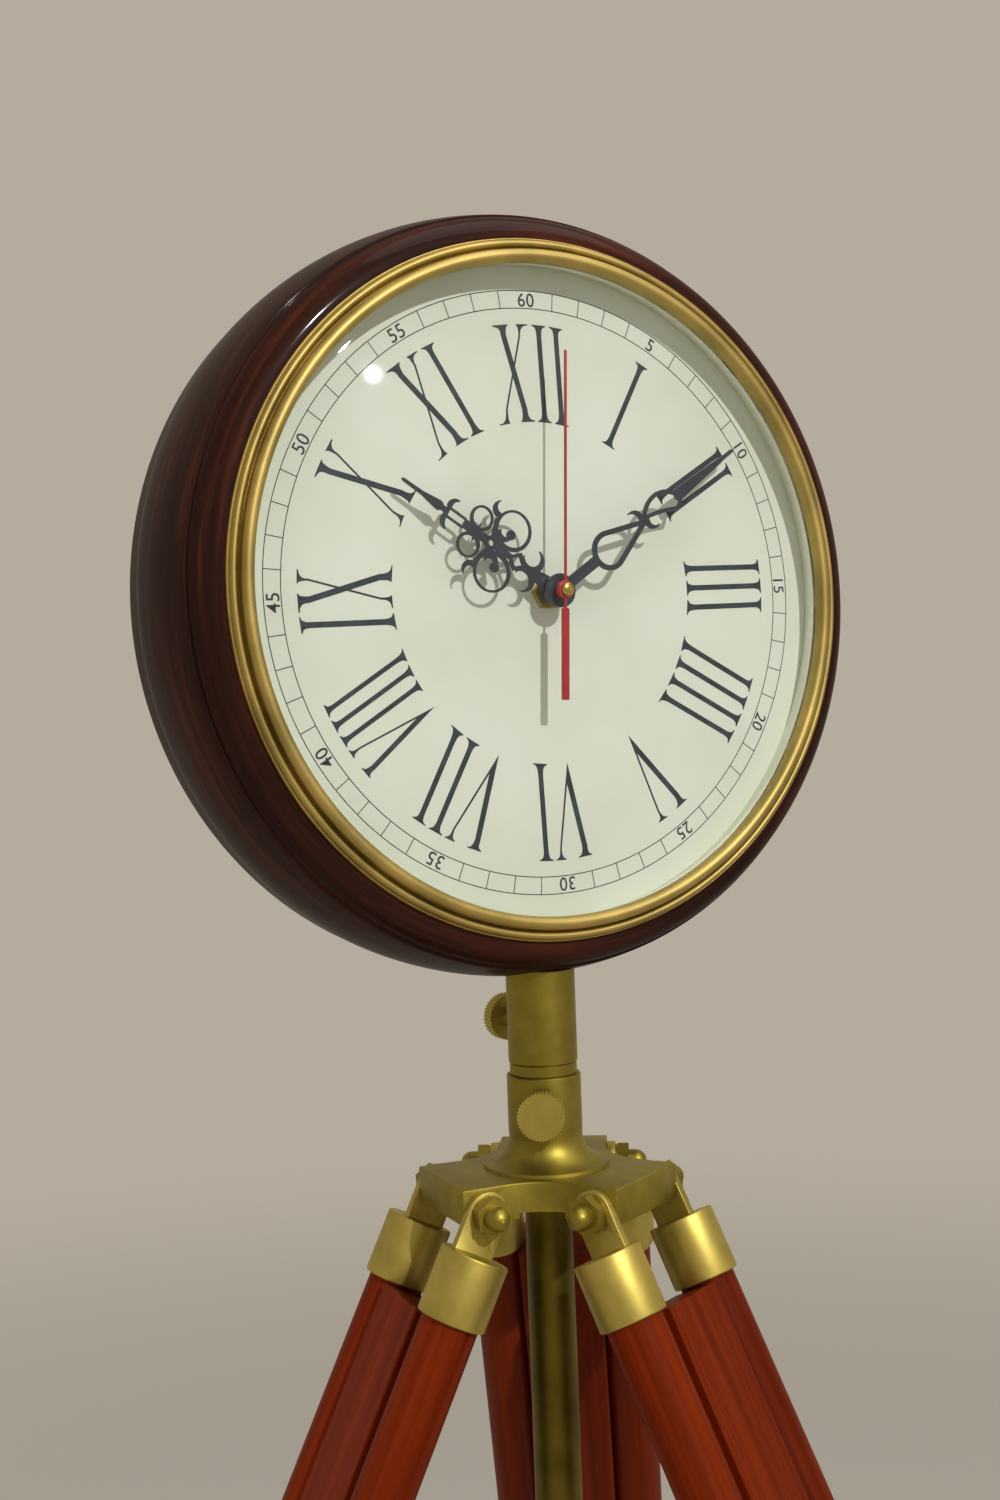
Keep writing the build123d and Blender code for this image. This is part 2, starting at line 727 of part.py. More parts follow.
def make_back_cover():
    with BuildPart() as back_cover:
        with BuildSketch(face_plane.offset(-back_cover_depth)):
            Circle(back_cover_radius - touch_gap)
            with PolarLocations(back_screw_radius, back_screw_count, start_angle=back_screw_turn):
                Circle(back_screw_diameter / 2, mode=Mode.SUBTRACT)
        extrude(amount=-back_cover_thickness)
    finish(back_cover, "back_cover")

    screw_spots = PolarLocations(back_screw_radius, back_screw_count, start_angle=back_screw_turn)
    head_back = face_plane.offset(-case_back_depth - back_screw_head_height)
    with BuildPart() as back_cover_screws:
        with BuildSketch(face_plane.offset(-case_back_depth)):
            with screw_spots:
                Circle(back_screw_diameter / 2)
        extrude(amount=back_screw_length)
        with BuildSketch(head_back):
            with screw_spots:
                Circle(back_screw_head_diameter / 2)
        extrude(amount=back_screw_head_height)
        with BuildSketch(head_back):
            with screw_spots:
                Rectangle(back_screw_head_diameter, back_screw_slot)
        extrude(amount=back_screw_head_height / 2, mode=Mode.SUBTRACT)
    finish(back_cover_screws, "back_cover_screws")


def make_head_bolt():
    """The bolt from inside the case down into the swivel collar."""
    with BuildPart() as head_bolt:
        with BuildSketch(Plane.XY.offset(head_bolt_seat)):
            RegularPolygon(head_bolt_across_flats / 2, hexagon_sides, major_radius=False)
        extrude(amount=head_bolt_head)
        with BuildSketch(Plane.XY.offset(case_seat_height - head_bolt_in_collar)):
            Circle(head_bolt_diameter / 2)
        extrude(amount=head_bolt_seat - case_seat_height + head_bolt_in_collar)
    finish(head_bolt, "head_bolt")


# Bezel, glass, inner rim and dial


def make_bezel():
    base = case_front_height + bezel_base
    lip_radius = dial_seat_radius - touch_gap
    bead_radius = (bezel_inner_bead_radius - bezel_inner_radius) / 2
    bead_spring = glass_front + bezel_inner_bead_height - bead_radius
    with BuildPart() as bezel:
        with BuildSketch(profile_plane):
            with BuildLine():
                outer_start = (bezel_outer_radius, base)
                outer_end = (bezel_outer_bead_radius, base)
                inner_start = (bezel_inner_bead_radius, bead_spring)
                inner_end = (bezel_inner_radius, bead_spring)
                Polyline(
                    inner_end,
                    (bezel_inner_radius, glass_front),
                    (lip_radius, glass_front),
                    (lip_radius, case_front_height),
                    (bezel_outer_radius, case_front_height),
                    outer_start,
                )
                SagittaArc(outer_start, outer_end, (bezel_outer_bead_radius - bezel_outer_radius) / 2)
                Polyline(outer_end, (bezel_inner_bead_radius, base), inner_start)
                SagittaArc(inner_start, inner_end, -bead_radius)
            make_face()
        revolve(axis=dial_axis)
    finish(bezel, "bezel")


def make_glass():
    """A domed glass with a flat rim; both its faces are parts of equal spheres."""
    sphere_radius = (glass_dome_radius**2 + glass_rise**2) / (2 * glass_rise)
    half_opening = degrees(asin(glass_dome_radius / sphere_radius))
    inner_centre = (0, dial_rim_height + glass_rise - sphere_radius)
    outer_centre = (0, glass_front + glass_rise - sphere_radius)
    with BuildPart() as glass:
        with BuildSketch(profile_plane):
            with BuildLine():
                CenterArc(inner_centre, sphere_radius, 90 - half_opening, half_opening)
                CenterArc(outer_centre, sphere_radius, 90 - half_opening, half_opening)
                Line((0, dial_rim_height + glass_rise), (0, glass_front + glass_rise))
                Polyline(
                    (glass_dome_radius, dial_rim_height),
                    (glass_radius, dial_rim_height),
                    (glass_radius, glass_front),
                    (glass_dome_radius, glass_front),
                )
            make_face()
        revolve(axis=dial_axis)
    finish(glass, "glass")


def make_dial():
    seat_radius = dial_seat_radius - touch_gap
    with BuildPart() as dial_rim:
        with BuildSketch(profile_plane):
            with BuildLine():
                Polyline(
                    (dial_visible_radius, 0),
                    (seat_radius, 0),
                    (seat_radius, dial_rim_height),
                    (dial_rim_top_radius, dial_rim_height),
                    close=True,
                )
            make_face()
        revolve(axis=dial_axis)
    finish(dial_rim, "dial_rim")

    with BuildPart() as dial:
        with BuildSketch(face_plane):
            Circle(seat_radius)
            Circle(bushing_diameter / 2, mode=Mode.SUBTRACT)
        extrude(amount=-dial_thickness)
    finish(dial, "dial")


# Movement


def wheel_outline(teeth, module, tooth_angle):
    """A gear outline with straight-flanked teeth, one of them at the given angle."""
    pitch_radius = teeth * module / 2
    tip_radius = pitch_radius + tooth_add_share * module
    root_radius = pitch_radius - tooth_root_share * module
    half_pitch = 180 / teeth * tooth_pitch_share
    flank = degrees(tan(radians(tooth_pressure)) * module / pitch_radius)
    half_tip = half_pitch - tooth_add_share * flank
    half_root = half_pitch + tooth_root_share * flank
    outline = []
    for tooth in range(teeth):
        middle = tooth_angle + tooth * 360 / teeth
        for radius, turn in (
            (root_radius, -half_root),
            (tip_radius, -half_tip),
            (tip_radius, half_tip),
            (root_radius, half_root),
        ):
            angle = radians(middle + turn)
            outline.append((radius * cos(angle), radius * sin(angle)))
    with BuildLine() as teeth_line:
        Polyline(*outline, close=True)
    make_face(teeth_line.line)


def wheel_disc(plane, depth, thickness, teeth, module, tooth_angle):
    """One toothed disc, from its front face at a depth behind the dial plane."""
    with BuildSketch(plane.offset(-depth)) as disc:
        wheel_outline(teeth, module, tooth_angle)
    extrude(disc.sketch, amount=-thickness)


def plain_shaft(plane, front, back, diameter, mode=Mode.ADD):
    """A round shaft, or the bore for one, between two heights in front of the dial plane."""
    with BuildSketch(plane.offset(back)) as section:
        Circle(diameter / 2)
    extrude(section.sketch, amount=front - back, mode=mode)


def face_point(across, up):
    """The dial plane moved to a point beside the dial's centre."""
    return face_plane.shift_origin(face_plane.from_local_coords(Vector(across, up, 0)))


motion_plane = face_point(0, motion_distance)
third_plane = face_point(
    third_distance * cos(radians(third_wheel_turn)),
    third_distance * sin(radians(third_wheel_turn)),
)
motion_tooth = -90 + 180 / motion_teeth
setting_turn = motion_tooth + 360 / motion_teeth * setting_step
setting_plane = face_point(
    setting_distance * cos(radians(setting_turn)),
    motion_distance + setting_distance * sin(radians(setting_turn)),
)
circuit_plane = face_point(
    movement_side / 2 - movement_corner - circuit_width / 2,
    movement_side / 2 - movement_corner - circuit_length / 2,
)


def make_movement_housing():
    front = -dial_thickness
    wall_back = front - movement_wall
    inside = movement_side - 2 * movement_wall
    with BuildPart() as movement_housing:
        with BuildSketch(face_plane.offset(front)):
            RectangleRounded(movement_side, movement_side, movement_corner)
        extrude(amount=-movement_depth)
        with BuildSketch(face_plane.offset(wall_back)):
            RectangleRounded(inside, inside, movement_corner - movement_wall)
        extrude(amount=-movement_depth, mode=Mode.SUBTRACT)
        plain_shaft(face_plane, bushing_height, front, bushing_diameter)
        plain_shaft(face_plane, bushing_height, wall_back, hour_tube_diameter + shaft_play, Mode.SUBTRACT)
        plain_shaft(third_plane, front, wall_back, third_arbor_diameter + shaft_play, Mode.SUBTRACT)
        post_end = -(motion_wheel_depth + wheel_thickness + wheel_level_gap / 2)
        plain_shaft(motion_plane, wall_back, post_end, motion_post_diameter)
        shelf_bottom = -battery_drop + battery_diameter / 2 + running_gap
        with BuildSketch(face_plane.offset(-movement_back)):
            with Locations((0, shelf_bottom)):
                Rectangle(inside, battery_shelf, align=(Align.CENTER, Align.MIN))
        extrude(amount=movement_depth - movement_wall)
    finish(movement_housing, "movement_housing")


def make_movement_lid():
    with BuildPart() as movement_lid:
        with BuildSketch(face_plane.offset(-movement_back)):
            RectangleRounded(movement_side, movement_side, movement_corner)
        extrude(amount=-movement_lid_thickness)
        for plane, arbor_diameter in (
            (face_plane, second_arbor_diameter),
            (third_plane, third_arbor_diameter),
            (setting_plane, setting_arbor_diameter),
        ):
            plain_shaft(plane, -movement_back, -lid_back, arbor_diameter + shaft_play, Mode.SUBTRACT)
    finish(movement_lid, "movement_lid")

    with BuildPart() as movement_nut:
        with BuildSketch(face_plane):
            RegularPolygon(movement_nut_across_flats / 2, hexagon_sides, major_radius=False)
            Circle(bushing_diameter / 2, mode=Mode.SUBTRACT)
        extrude(amount=movement_nut_height)
    finish(movement_nut, "movement_nut")


def make_battery():
    depth = dial_thickness + movement_wall + battery_diameter / 2 + running_gap
    start = face_plane.from_local_coords(Vector(-battery_length / 2, -battery_drop, -depth))
    along = Plane(origin=start, x_dir=(0, 0, 1), z_dir=(1, 0, 0))
    with BuildPart() as battery:
        with BuildSketch(along):
            Circle(battery_diameter / 2)
        extrude(amount=battery_length - battery_tip_length)
        with BuildSketch(along):
            Circle(battery_tip_diameter / 2)
        extrude(amount=battery_length)
    finish(battery, "battery")


def make_circuit_board():
    """The circuit on the lid's inner side, with its coil between two posts."""
    coil_height = circuit_thickness + coil_lift + coil_diameter / 2
    coil_depth = movement_back - coil_height
    coil_start = circuit_plane.from_local_coords(Vector(-coil_length / 2, 0, -coil_depth))
    with BuildPart() as circuit_board:
        with BuildSketch(circuit_plane.offset(-movement_back)):
            Rectangle(circuit_width, circuit_length)
        extrude(amount=circuit_thickness)
        with BuildSketch(circuit_plane.offset(-movement_back)):
            with Locations((-coil_length / 2, 0), (coil_length / 2, 0)):
                Rectangle(coil_post_thickness, coil_post_width)
        extrude(amount=coil_height)
        with BuildSketch(Plane(origin=coil_start, x_dir=(0, 0, 1), z_dir=(1, 0, 0))):
            Circle(coil_diameter / 2)
        extrude(amount=coil_length)
    finish(circuit_board, "circuit_board")


def make_hour_wheel():
    front = hour_hand_height + hand_thickness
    with BuildPart() as hour_wheel:
        plain_shaft(face_plane, front, -hour_wheel_depth, hour_tube_diameter)
        tooth = 90 + 180 / hour_teeth
        wheel_disc(face_plane, hour_wheel_depth, wheel_thickness, hour_teeth, motion_module, tooth)
        hour_back = -(hour_wheel_depth + wheel_thickness)
        plain_shaft(face_plane, front, hour_back, minute_arbor_diameter + shaft_play, Mode.SUBTRACT)
    finish(hour_wheel, "hour_wheel")


def make_minute_wheel():
    """The minute arbor with its cannon pinion and the centre wheel that drives the third wheel."""
    front = minute_hand_height + minute_hub_height
    back = -(centre_wheel_depth + wheel_thickness + wheel_level_gap)
    cannon_depth = motion_wheel_depth - wheel_level_gap / 2
    cannon_length = centre_wheel_depth - cannon_depth
    with BuildPart() as minute_wheel:
        plain_shaft(face_plane, front, back, minute_arbor_diameter)
        wheel_disc(face_plane, cannon_depth, cannon_length, cannon_teeth, motion_module, 90)
        wheel_disc(
            face_plane, centre_wheel_depth, wheel_thickness, centre_teeth, centre_module, third_wheel_turn
        )
        plain_shaft(face_plane, front, back, second_arbor_diameter + shaft_play, Mode.SUBTRACT)
    finish(minute_wheel, "minute_wheel")


def make_motion_wheel():
    """The wheel and pinion between the minute arbor and the hour wheel."""
    back = -(motion_wheel_depth + wheel_thickness)
    pinion_length = motion_wheel_depth + wheel_thickness - hour_wheel_depth
    with BuildPart() as motion_wheel:
        wheel_disc(
            motion_plane, motion_wheel_depth, wheel_thickness, motion_teeth, motion_module, motion_tooth
        )
        wheel_disc(
            motion_plane, hour_wheel_depth, pinion_length, motion_pinion_teeth, motion_module, -90
        )
        plain_shaft(motion_plane, -hour_wheel_depth, back, motion_post_diameter + shaft_play, Mode.SUBTRACT)
    finish(motion_wheel, "motion_wheel")


def make_third_wheel():
    pinion_depth = centre_wheel_depth - wheel_level_gap / 2
    pinion_length = third_wheel_depth - pinion_depth
    wheel_tooth = third_wheel_turn + 180
    pinion_tooth = wheel_tooth + 180 / third_pinion_teeth
    with BuildPart() as third_wheel:
        plain_shaft(third_plane, -dial_thickness - touch_gap, -lid_back, third_arbor_diameter)
        wheel_disc(
            third_plane, third_wheel_depth, wheel_thickness, third_teeth, third_module, wheel_tooth
        )
        wheel_disc(
            third_plane, pinion_depth, pinion_length, third_pinion_teeth, centre_module, pinion_tooth
        )
    finish(third_wheel, "third_wheel")


def make_second_wheel():
    pinion_depth = third_wheel_depth - wheel_level_gap / 2
    pinion_length = second_wheel_depth - pinion_depth
    tooth = third_wheel_turn + 180 / second_pinion_teeth
    with BuildPart() as second_wheel:
        plain_shaft(face_plane, second_hand_height, -lid_back, second_arbor_diameter)
        wheel_disc(face_plane, pinion_depth, pinion_length, second_pinion_teeth, third_module, tooth)
        wheel_disc(
            face_plane, second_wheel_depth, wheel_thickness, second_wheel_teeth, second_wheel_module, 0
        )
    finish(second_wheel, "second_wheel")


def make_setting_knob():
    knob_front = -lid_back - touch_gap
    tooth = setting_turn + 180 + 180 / setting_teeth
    with BuildPart() as setting_knob:
        plain_shaft(setting_plane, -motion_wheel_depth, knob_front, setting_arbor_diameter)
        wheel_disc(setting_plane, motion_wheel_depth, wheel_thickness, setting_teeth, motion_module, tooth)
        with BuildSketch(setting_plane.offset(knob_front)):
            Circle(setting_knob_diameter / 2)
            with PolarLocations(setting_knob_diameter / 2, setting_knob_notches):
                Circle(knob_notch_diameter / 2, mode=Mode.SUBTRACT)
        extrude(amount=-setting_knob_height)
    finish(setting_knob, "setting_knob")


# Hands


def hand_plane(height, angle):
    """The plane of a hand: y runs from the hub to its tip, turned clockwise from twelve."""
    across = Vector(cos(radians(angle)), 0, -sin(radians(angle)))
    return Plane(origin=face_plane.offset(height).origin, x_dir=across, z_dir=face_plane.z_dir)


def hand_strip(size, width, shares, side=1):
    """A strip of a hand: straight between two points, or along the arc through three."""
    points = [(side * across * size, along * size) for across, along in shares]
    with BuildLine() as path:
        if len(points) == 2:
            Line(*points)
        else:
            ThreePointArc(*points)
    trace(path.line, line_width=width)


def hand_horn(size, shares, side=1):
    """A tapered strip of a hand along the arc through three points, each with its own width."""
    start, middle, tip = [Vector(side * across * size, along * size) for across, along, width in shares]
    chords = (middle - start, tip - start, tip - middle)
    insets = [
        Vector(-chord.Y, chord.X).normalized() * width * size / 2
        for chord, (across, along, width) in zip(chords, shares)
    ]
    with BuildLine() as outline:
        ThreePointArc(start + insets[0], middle + insets[1], tip + insets[2])
        Line(tip + insets[2], tip - insets[2])
        ThreePointArc(tip - insets[2], middle - insets[1], start - insets[0])
        Line(start - insets[0], start + insets[0])
    make_face(outline.edges())


def hand_shape(size, shares, mode=Mode.ADD):
    """A symmetrical shape of a hand, from the points of its right-hand outline."""
    right = [(across * size, along * size) for across, along in shares]
    left = [(-across, along) for across, along in reversed(right) if across]
    with BuildLine() as outline:
        Polyline(*right, *left, close=True)
    make_face(outline.line, mode=mode)


def make_hour_hand():
    """A pierced hand: hooked stem, two pairs of scrolls on a spine, a hooked neck and a spear."""
    size = hour_hand_length
    ring_shares = ((0.120, 0.363, 0.105, 0.126, 0.088), (0.077, 0.541, 0.065, 0.081, 0.050))
    stem_shares = ((0.024, 0.178), (0.030, 0.140), (0.042, 0.060))
    diamond_shares = ((0, 0.325), (0.054, 0.268), (0, 0.205))
    diamond_hole_shares = ((0, 0.300), (0.027, 0.268), (0, 0.236))
    spike_shares = ((0, 0.545), (0.060, 0.532), (0, 0.519))
    spear_tip_shares = ((0.004, 1.0), (0.008, 0.985), (0.010, 0.875))
    spear_base_shares = ((0.025, 0.780), (0.025, 0.762), (0.014, 0.750))
    spear_shares = spear_tip_shares + spear_base_shares
    neck_shares = ((0.014, 0.755), (0.014, 0.735), (0.033, 0.722), (0.030, 0.708))
    stem_hook_shares = ((0.116, 0.184, 0.006), (0.030, 0.152, 0.034), (0.044, 0.250, 0.018))
    curl_shares = ((0.083, 0.434, 0.034), (0.053, 0.398, 0.030), (0.083, 0.361, 0.022))
    outer_hook_shares = ((0.147, 0.463, 0.036), (0.170, 0.506, 0.024), (0.214, 0.495, 0.006))
    top_hook_shares = ((0.024, 0.719, 0.030), (0.061, 0.714, 0.024), (0.080, 0.684, 0.006))
    strap_shares = ((0.010, 0.435), (0.128, 0.470))
    rail_shares = ((0.0225, 0.610), (0.0225, 0.720))
    bud_share = (0.096, 0.362, 0.025)
    eyelet_share = (0.437, 0.038, 0.015)
    with BuildPart() as hour_hand:
        with BuildSketch(hand_plane(hour_hand_height, hour_hand_angle)):
            for side in (-1, 1):
                for across, along, outer, hole_across, hole in ring_shares:
                    with Locations((side * across * size, along * size)):
                        Circle(outer * size)
                    with Locations((side * hole_across * size, along * size)):
                        Circle(hole * size, mode=Mode.SUBTRACT)
            hand_strip(size, hand_spine_width, ((0, 0.290), (0, 0.480)))
            hand_strip(size, hand_wide_spine_width, ((0, 0.450), (0, 0.615)))
            for side in (-1, 1):
                for horn_shares in (stem_hook_shares, curl_shares, outer_hook_shares, top_hook_shares):
                    hand_horn(size, horn_shares, side)
                hand_strip(size, hand_strip_width, strap_shares, side)
                hand_strip(size, hand_rail_width, rail_shares, side)
                with Locations((side * bud_share[0] * size, bud_share[1] * size)):
                    Circle(bud_share[2] * size)
            for shape_shares in (stem_shares, diamond_shares, spike_shares, neck_shares, spear_shares):
                hand_shape(size, shape_shares)
            hand_shape(size, diamond_hole_shares, Mode.SUBTRACT)
            with Locations((0, eyelet_share[0] * size)):
                Circle(eyelet_share[1] * size)
                Circle(eyelet_share[2] * size, mode=Mode.SUBTRACT)
            Circle(hour_hub_diameter / 2)
            Circle(hour_tube_diameter / 2, mode=Mode.SUBTRACT)
        extrude(amount=hand_thickness)
    finish(hour_hand, "hour_hand")


def make_minute_hand():
    """A hand like a twisted ribbon: a drop-shaped loop, a knot with two curls, an eye and a blade."""
    size = minute_hand_length
    drop_shares = ((0.0625, 0.294), (0, 0.206), (-0.0625, 0.294))
    flank_shares = ((0.0625, 0.294), (0, 0.474))
    lower_curl_shares = ((-0.010, 0.466, 0.026), (-0.051, 0.458, 0.017), (-0.0625, 0.425, 0.004))
    upper_curl_shares = ((0.003, 0.487, 0.026), (0.037, 0.494, 0.017), (0.044, 0.526, 0.004))
    left_eye_shares = ((-0.004, 0.477), (-0.056, 0.577), (-0.009, 0.660))
    right_eye_shares = ((-0.010, 0.486), (0.010, 0.563), (0.039, 0.630))
    eye_top_shares = ((0.039, 0.626), (0.035, 0.653), (0.010, 0.668))
    blade_tip_shares = ((0.004, 1.0), (0.0075, 0.990), (0.0085, 0.930))
    blade_base_shares = ((0.0110, 0.915), (0.025, 0.670), (0.016, 0.650))
    blade_shares = blade_tip_shares + blade_base_shares
    knot_share = (0.477, 0.019)
    with BuildPart() as minute_hand:
        with BuildSketch(hand_plane(minute_hand_height, minute_hand_angle)):
            hand_strip(size, minute_arm_width, ((0, 0), (0, 0.206)))
            hand_strip(size, minute_loop_width, drop_shares)
            for side in (-1, 1):
                hand_strip(size, minute_loop_width, flank_shares, side)
            for curl_shares in (lower_curl_shares, upper_curl_shares):
                hand_horn(size, curl_shares)
            for eye_shares in (left_eye_shares, right_eye_shares, eye_top_shares):
                hand_strip(size, hand_strip_width, eye_shares)
            hand_shape(size, blade_shares)
            with Locations((0, knot_share[0] * size)):
                Circle(knot_share[1] * size)
        extrude(amount=hand_thickness)
        plain_shaft(
            face_plane, minute_hand_height + minute_hub_height, minute_hand_height, minute_hub_diameter
        )
        plain_shaft(
            face_plane,
            minute_hand_height + minute_hub_height,
            minute_hand_height,
            minute_arbor_diameter,
            Mode.SUBTRACT,
        )
    finish(minute_hand, "minute_hand")


def make_second_hand():
    with BuildPart() as second_hand:
        with BuildSketch(hand_plane(second_hand_height, second_hand_angle)):
            Rectangle(second_hand_width, second_hand_length, align=(Align.CENTER, Align.MIN))
            Rectangle(second_hand_width, second_hand_tail, align=(Align.CENTER, Align.MAX))
            with Locations((0, -second_tail_start)):
                tail_length = second_hand_tail - second_tail_start
                Rectangle(second_tail_width, tail_length, align=(Align.CENTER, Align.MAX))
        extrude(amount=second_hand_thickness)
        boss_back = second_hand_height - second_boss_height / 2
        boss_front = second_hand_height + second_boss_height / 2
        plain_shaft(face_plane, boss_front, boss_back, second_boss_diameter)
        plain_shaft(face_plane, boss_front + second_cap_height, boss_front, second_cap_diameter)
        fillet(second_hand.faces().sort_by(dial_axis)[-1].edges(), second_cap_height / 2)
        plain_shaft(face_plane, second_hand_height, boss_back, second_arbor_diameter, Mode.SUBTRACT)
    finish(second_hand, "second_hand")


def main():
    os.makedirs("parts", exist_ok=True)
    make_tripod_head()
    make_hinge_hardware()
    pole_knob_plane = radial_plane(pole_knob_azimuth, plate_top_height + pole_knob_above_plate)
    pole_surface = pole_diameter / 2 + touch_gap
    boss_surface = boss_diameter / 2
    make_thumbscrew("pole_lock_knob", pole_knob_plane, pole_surface, boss_surface, pole_knob_standoff)
    collar_knob_plane = radial_plane(collar_knob_azimuth, case_seat_height - collar_knob_below_seat)
    collar_surface = collar_diameter / 2
    make_thumbscrew(
        "collar_lock_knob", collar_knob_plane, pole_surface, collar_surface, collar_knob_standoff
    )
    make_pole()
    make_swivel_collar()
    for side_name, azimuth in leg_azimuths.items():
        leg = leg_plane(azimuth)
        for bar_name, side in (("left", 1), ("right", -1)):
            make_leg_bar(f"{side_name}_leg_{bar_name}_bar", leg, side)
            make_leg_ferrule(f"{side_name}_leg_{bar_name}_ferrule", leg, side)
        make_leg_spacer(f"{side_name}_leg_spacer", leg)
        make_clamp_band(f"{side_name}_leg_clamp_band", leg)
        knob_tip = board_depth / 2 + touch_gap
        knob_name = f"{side_name}_leg_clamp_knob"
        make_thumbscrew(knob_name, clamp_boss_plane(leg), knob_tip, band_shoulder, band_knob_standoff)
        make_lower_leg(side_name, leg)
    make_case_front_ring()
    make_case_rear_ring()
    make_back_cover()
    make_head_bolt()
    make_bezel()
    make_glass()
    make_dial()
    make_movement_housing()
    make_movement_lid()
    make_battery()
    make_circuit_board()
    make_hour_wheel()
    make_minute_wheel()
    make_motion_wheel()
    make_third_wheel()
    make_second_wheel()
    make_setting_knob()
    make_hour_hand()
    make_minute_hand()
    make_second_hand()


if __name__ == "__main__":
    main()
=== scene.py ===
"""Looks of the tripod floor clock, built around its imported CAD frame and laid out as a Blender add-on."""

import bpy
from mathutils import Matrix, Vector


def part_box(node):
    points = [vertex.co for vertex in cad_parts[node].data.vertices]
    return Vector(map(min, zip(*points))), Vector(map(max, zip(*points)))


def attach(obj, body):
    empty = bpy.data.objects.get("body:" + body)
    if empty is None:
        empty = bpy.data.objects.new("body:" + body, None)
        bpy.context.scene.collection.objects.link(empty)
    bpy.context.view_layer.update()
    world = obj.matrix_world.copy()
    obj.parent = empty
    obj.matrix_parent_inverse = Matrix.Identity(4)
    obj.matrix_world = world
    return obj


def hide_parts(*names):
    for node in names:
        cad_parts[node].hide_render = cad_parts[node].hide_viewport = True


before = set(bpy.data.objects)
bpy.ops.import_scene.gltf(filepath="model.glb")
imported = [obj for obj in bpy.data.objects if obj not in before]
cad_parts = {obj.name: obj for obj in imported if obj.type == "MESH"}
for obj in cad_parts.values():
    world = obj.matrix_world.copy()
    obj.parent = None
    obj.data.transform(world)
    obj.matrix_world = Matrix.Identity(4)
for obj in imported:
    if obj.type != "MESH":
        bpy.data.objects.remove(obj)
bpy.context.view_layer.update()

from contextlib import contextmanager
from math import atan2, cos, pi, radians, sin, sqrt

import bmesh
import bpy
from bpy.props import FloatProperty, FloatVectorProperty, IntProperty, PointerProperty
from mathutils import Matrix, Vector

bl_info = {
    "name": "Tripod Floor Clock",
    "version": (1, 0, 0),
    "blender": (4, 5, 0),
    "location": "View3D > Sidebar > Clock",
    "description": "Builds the looks of a round tripod floor clock around its CAD frame",
    "category": "Add Mesh",
}

MM = 0.001
CORNER_STEPS = 5  # of each rounded corner of a turned profile
FLARE_STEPS = 6  # of each side of a serif
FONT_SIZE = 1.37  # of the built-in font, for digits 1 high
SOFT_EDGE = 0.35  # width of the bevels on the brass, in millimetres
CAP_HEIGHT = 2.0  # of the second hand's cap, in millimetres

# Places read from the frame, in metres
dial_low, dial_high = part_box("dial")
dial_centre = Vector(((dial_low.x + dial_high.x) / 2, dial_low.y, (dial_low.z + dial_high.z) / 2))
leg_names = ("left", "right", "back")


def height_of(node):
    """How far a node's front stands before the dial plane, in millimetres."""
    return (dial_centre.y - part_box(node)[0].y) / MM


def back_of(node):
    """How far a node's back stands before the dial plane, in millimetres: less than 0 behind it."""
    return (dial_centre.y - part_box(node)[1].y) / MM


def radius_of(node):
    """Half the width of a round node that faces forwards, in millimetres."""
    low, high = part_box(node)
    return (high.x - low.x) / 2 / MM


# Shader maths


def maths_operator(operation, swapped=False):
    """A Python operator that adds a Math node; the channel comes second if swapped."""

    def work_out(channel, other):
        values = (other, channel) if swapped else (channel, other)
        return channel.finish.node("ShaderNodeMath", {"operation": operation}, dict(enumerate(values)))

    return work_out


class Channel:
    """The value of a socket. Python's operators on it add Math nodes."""

    def __init__(self, finish, socket):
        self.finish = finish
        self.socket = socket

    __add__ = __radd__ = maths_operator("ADD")
    __mul__ = __rmul__ = maths_operator("MULTIPLY")
    __sub__, __rsub__ = maths_operator("SUBTRACT"), maths_operator("SUBTRACT", swapped=True)
    __truediv__ = maths_operator("DIVIDE")
    __pow__ = maths_operator("POWER")

    def between(self, low, high):
        """0 below low, 1 above high and a smooth rise between them."""
        inputs = {0: self, 1: low, 2: high}
        settings = {"interpolation_type": "SMOOTHSTEP", "clamp": True}
        return self.finish.node("ShaderNodeMapRange", settings, inputs)


